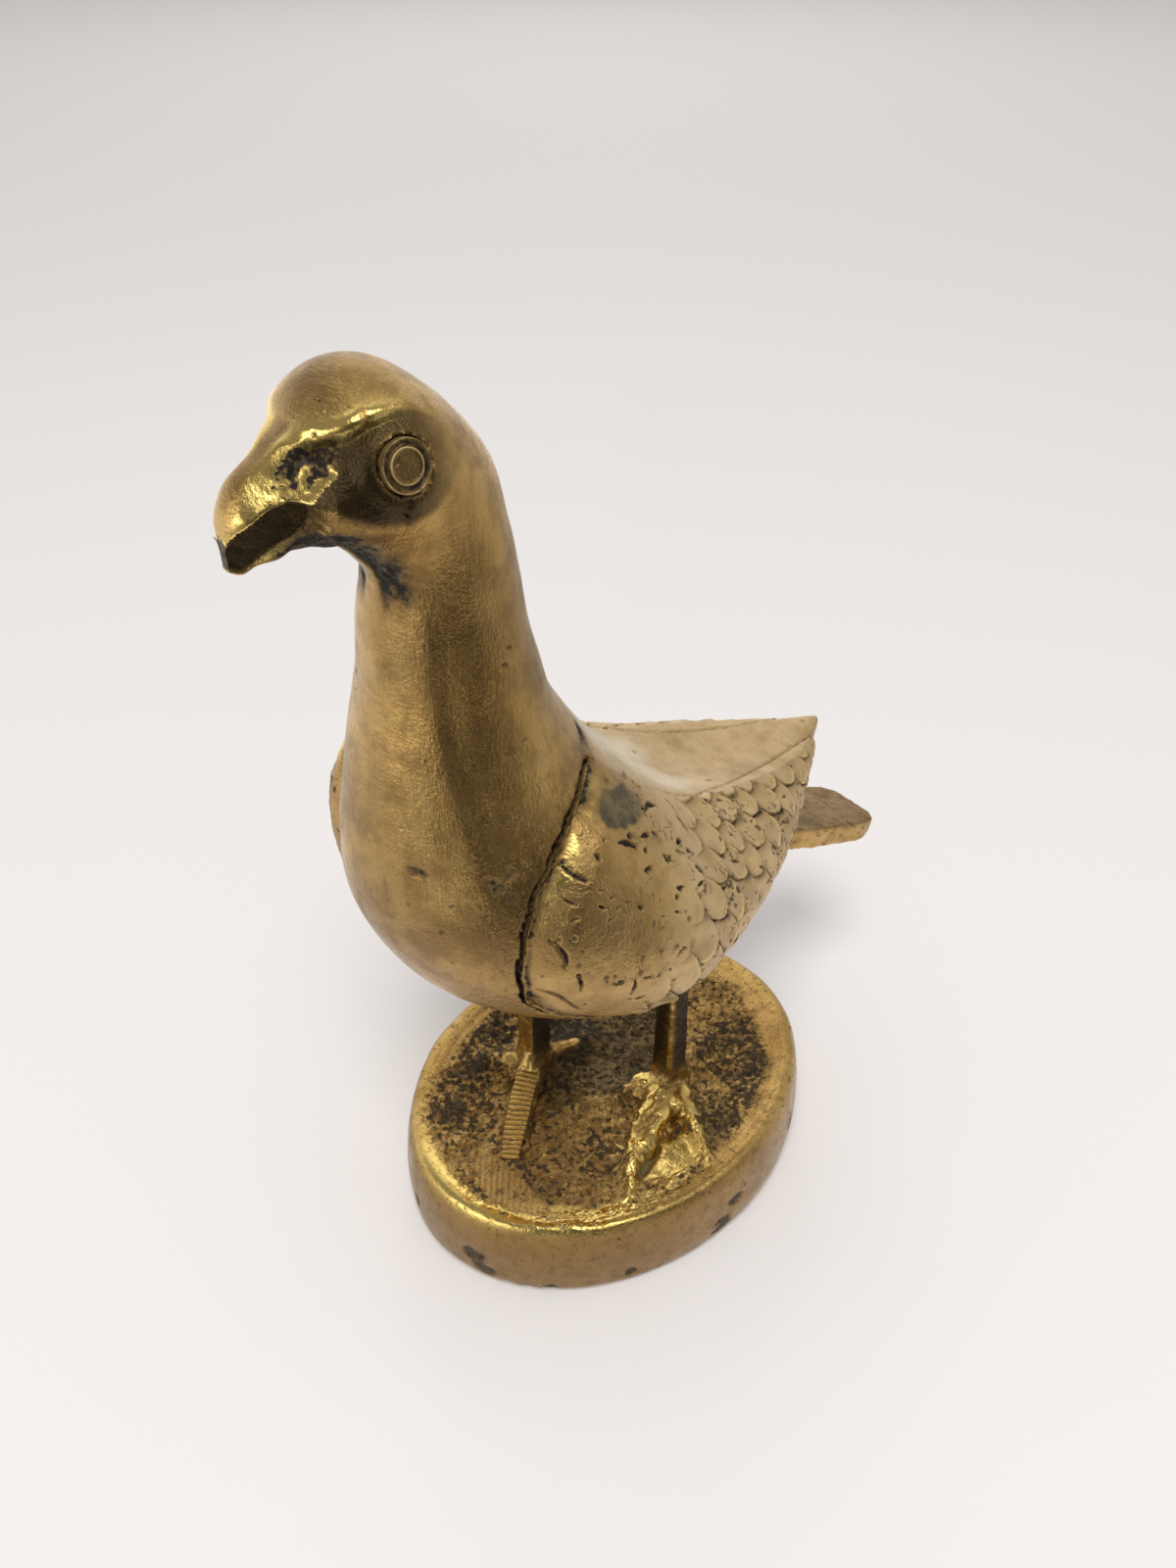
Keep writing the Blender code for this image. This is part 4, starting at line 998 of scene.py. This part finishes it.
def work_plain(node, voxel, rough, seed, rounds=3):
    c = Cast(node, voxel)
    c.smooth(rounds)
    v = c.v
    c.push(rough * fbm(v, 2.2, 3, seed) + 0.4 * rough * fbm(v, 0.7, 2, seed + 1))
    c.at = {"dirt_and_shade": np.clip(0.6 * fbm(v, 2.5, 3, seed + 2) - 0.25, 0, 0.7),
            "rub_and_highlight": np.clip(fbm(v, 3.0, 2, seed + 3) - 0.3, 0, 0.5)}
    return c


def work_tail():
    c = work_plain("tail", 0.25, 0.12, 720, 5)
    v = c.v
    n = c.normals()
    dd, hole = pits(v, 2.0, 725, 0.35, 0.2, 0.11)
    c.push(dd)
    top = step(0.3, 0.8, n[:, 2])
    c.at["dirt_and_shade"] = c.at["dirt_and_shade"] + 0.85 * hole + 0.25 * top * step(-0.1, 0.4, fbm(v, 3.0, 3, 727))
    c.at["dust_and_sheen"] = 0.5 * top
    c.at["tarnish_and_shade"] = 0.95 * top
    c.at["rub_and_highlight"] = c.at["rub_and_highlight"] * (1 - top)
    c.at["pitted"] = np.full(len(v), 0.6)
    return c


def work_eye(side):
    sign = 1 if side == "left" else -1
    c = Cast(side + "_eye", 0.085)
    c.smooth(2)
    axis = np.array([EYE_AXIS[0] * sign, EYE_AXIS[1], EYE_AXIS[2]])
    axis /= np.linalg.norm(axis)
    rel = c.v - np.array([EYE_AT[0] * sign, EYE_AT[1], EYE_AT[2]])
    h = rel @ axis
    rad = np.sqrt(np.clip((rel ** 2).sum(1) - h ** 2, 0, None))
    face = step(-0.8, -0.4, h)
    grain = fbm(c.v, 0.55, 3, 730)
    clock = fbm(c.v, 1.6, 2, 731)
    # low disc with a sharp rim, rough punched groove round it
    want = np.interp(rad, (0, 1.1, 1.34, 1.44, 1.58, 1.75, 1.95, 2.10, 2.15),
                     (-0.08, -0.10, -0.02, -0.04, -0.30, -0.26, -0.16, -0.06, -0.06))
    want += 0.09 * grain * step(1.44, 1.58, rad) + 0.02 * grain
    c.v += axis * (face * (want - h))[:, None]
    groove = bell(rad - 1.76, 0.25)
    # pale bright rings on the rims are painted highlights; the disc and the groove are darkened
    c.at = {"dirt_and_shade": np.clip(groove * (0.70 - 0.9 * grain + 0.6 * clock) * face + (1 - face) * 0.9, 0, 1),
            "rub_and_highlight": face * (0.40 * bell(rad - 1.40, 0.07) * step(-0.3, 0.2, clock) + 0.3 * bell(rad - 2.12, 0.06) * step(-0.4, 0.2, -clock)),
            "dust_and_sheen": face * np.clip(0.95 * bell(rad - 1.40, 0.08) + 0.95 * bell(rad - 2.06, 0.10) * step(-0.6, 0.1, -clock), 0, 0.97),
            "tarnish_and_shade": 0.6 * face, "film_and_shade": face * (0.50 * step(1.36, 1.26, rad) + 0.45 * step(1.46, 1.56, rad)) * step(2.12, 1.95, rad)}
    return c


made = {"body": work_body().done(brass("body brass", 0.26, 0.68, 1.25))}
for s in ("left", "right"):
    made[s + "_wing"] = work_wing(s).done(brass(s + " wing brass", 0.28, 0.45))
made["base"] = work_base().done(brass("base brass", 0.26, 0.55, 1.15))
for s in ("left", "right"):
    made[s + "_leg"] = work_leg(s).done(brass(s + " leg brass", 0.30, 0.5))
    made[s + "_leg_screw"] = work_plain(s + "_leg_screw", 0.16, 0.02, 700, 2).done(brass(s + " screw brass", 0.30, 0.4))
    made[s + "_eye"] = work_eye(s).done(brass(s + " eye brass", 0.30, 0.4))
made["tail"] = work_tail().done(brass("tail brass", 0.36, 0.5))


# ------------------------------------------------------------------ set
def stage_mesh(name, verts, faces, mat):
    me = bpy.data.meshes.new(name)
    me.from_pydata(verts, [], faces)
    me.materials.append(mat)
    ob = bpy.data.objects.new(name, me)
    bpy.context.scene.collection.objects.link(ob)
    return ob


paper = bpy.data.materials.new("white paper")
paper.use_nodes = True
pb = paper.node_tree.nodes["Principled BSDF"]
pb.inputs["Base Color"].default_value = (0.80, 0.775, 0.765, 1)
pb.inputs["Roughness"].default_value = 0.9
pb.inputs["Specular IOR Level"].default_value = 0.1
stage_mesh("floor", [(-4, -4, 0), (4, -4, 0), (4, 4, 0), (-4, 4, 0)], [(0, 1, 2, 3)], paper)

# camera
CAM = Vector((0.08273, -0.07449, 0.15044))
fw = Vector((-0.59832, 0.51281, -0.61566)).normalized()
rt = fw.cross(Vector((0, 0, 1))).normalized()
up = rt.cross(fw)
cam_data = bpy.data.cameras.new("camera")
cam_data.lens = 28.125
cam_data.sensor_width = 36.0
cam_data.clip_start = 0.005
cam = bpy.data.objects.new("camera", cam_data)
bpy.context.scene.collection.objects.link(cam)
cam.matrix_world = Matrix.Translation(CAM) @ Matrix((rt, up, -fw)).transposed().to_4x4()
bpy.context.scene.camera = cam
bpy.context.scene.view_settings.view_transform = 'Standard'

# Reflector cards round the set, seen only in the brass: bright behind, mid
# grey on the left, dark towards the front and right.
RING_AZ = (-180, -160, -140, -110, -70, -35, -20, -8, 5, 25, 45, 70, 95, 120, 140, 160, 180)
RING_L = (1.35, 1.25, 1.10, 1.26, 0.70, 0.44, 0.31, 0.18, 0.09, 0.08, 0.12, 0.46, 0.74, 0.58, 0.50, 1.00, 1.35)


LAMP_AZ, LAMP_EL, LAMP_GLOW = 36, 56, 3.6
HIGH_AZ, HIGH_EL, HIGH_GLOW = -130, 74, 0.75
WINDOW_AZ, WINDOW_EL, WINDOW_GLOW = -46, 22, 2.3


def card_glow(az, el):
    ring = np.interp(az, RING_AZ, RING_L)
    behind = max(0.0, -math.cos(math.radians(az))) ** 2
    high = 0.28 + 0.92 * behind * float(step(88, 50, el))
    left = max(0.0, -math.sin(math.radians(az)))
    glow = ring + (high - ring) * step(26 - 18 * left, 56 - 20 * left, el)
    # the lamp, above the camera to the right
    away = math.hypot((az - LAMP_AZ) * math.cos(math.radians(LAMP_EL)), el - LAMP_EL)
    turn = (az - HIGH_AZ + 180) % 360 - 180
    high_away = math.hypot(turn * math.cos(math.radians(HIGH_EL)), el - HIGH_EL)
    # a window low at the left front
    pane = WINDOW_GLOW * step(28, 18, abs(az - WINDOW_AZ)) * step(13, 7, abs(el - WINDOW_EL))
    return float(glow + LAMP_GLOW * step(18, 10, away) + HIGH_GLOW * step(15, 8, high_away) + pane)


front_dir = Vector((-fw.x, -fw.y, 0)).normalized()
R0, R1 = 0.110, 0.36
rows = [("floor", r) for r in (R0, 0.125, 0.14, 0.16, 0.18, 0.21, 0.25, 0.30, R1)] + [("dome", e) for e in range(4, 89, 4)]
verts, glow, faces = [], [], []
N = 96
for kind, val in rows:
    for i in range(N):
        az = -180 + 360 * i / N
        h = front_dir * math.cos(math.radians(az)) + rt * math.sin(math.radians(az))
        if kind == "floor":
            p = h * val + Vector((0, 0, 0.0006))
            g = card_glow(az, -5)
            start = float(np.interp(az, (-180, -40, 0, 45, 90, 140, 180), (0.13, 0.12, 0.112, 0.115, 0.16, 0.24, 0.30)))
            g = g + (0.57 - g) * float(step(start + 0.035, start, val))
        else:
            p = h * (R1 * math.cos(math.radians(val))) + Vector((0, 0, R1 * 1.2 * math.sin(math.radians(val))))
            g = card_glow(az, val)
        verts.append(p)
        glow.append(g)
for j in range(len(rows) - 1):
    for i in range(N):
        a, b = j * N + i, j * N + (i + 1) % N
        faces.append((a, b, b + N, a + N))
faces.append(tuple(range((len(rows) - 1) * N, len(rows) * N)))
cards = bpy.data.materials.new("reflector cards")
cards.use_nodes = True
cn = cards.node_tree.nodes
cn.remove(cn["Principled BSDF"])
em = cn.new("ShaderNodeEmission")
em.inputs["Color"].default_value = (1.0, 0.985, 0.965, 1)
ga = cn.new("ShaderNodeAttribute")
ga.attribute_name = "glow"
cards.node_tree.links.new(ga.outputs["Fac"], em.inputs["Strength"])
cards.node_tree.links.new(em.outputs[0], cn["Material Output"].inputs["Surface"])
cards.cycles.emission_sampling = 'NONE'
dome = stage_mesh("reflector_cards", verts, faces, cards)
a = dome.data.attributes.new("glow", 'FLOAT', 'POINT')
a.data.foreach_set("value", np.array(glow, np.float32))
dome.data.polygons.foreach_set("use_smooth", np.ones(len(dome.data.polygons), bool))
dome.visible_camera = False
dome.visible_diffuse = False
dome.visible_shadow = False
dome.visible_transmission = False
dome.visible_volume_scatter = False

# soft light on the paper
world = bpy.data.worlds.new("room")
bpy.context.scene.world = world
world.use_nodes = True
bg = world.node_tree.nodes["Background"]
bg.inputs["Color"].default_value = (1.0, 0.99, 0.985, 1)
bg.inputs["Strength"].default_value = 0.57


def area(name, at, to, size, power):
    li = bpy.data.lights.new(name, 'AREA')
    li.shape = 'DISK'
    li.size = size
    li.energy = power
    li.color = (1.0, 0.985, 0.97)
    ob = bpy.data.objects.new(name, li)
    bpy.context.scene.collection.objects.link(ob)
    ob.location = at
    ob.rotation_euler = (Vector(to) - Vector(at)).to_track_quat('-Z', 'Y').to_euler()
    ob.visible_glossy = False
    return ob


h = front_dir * math.cos(math.radians(-4)) + rt * math.sin(math.radians(-4))
area("softbox", h * 0.40 + Vector((0, 0, 0.84)), (-0.05, 0.08, 0.0), 0.36, 5.4)
area("backdrop", front_dir * -1.1 + Vector((0, 0, 0.8)), front_dir * -1.1, 0.6, 1.9)
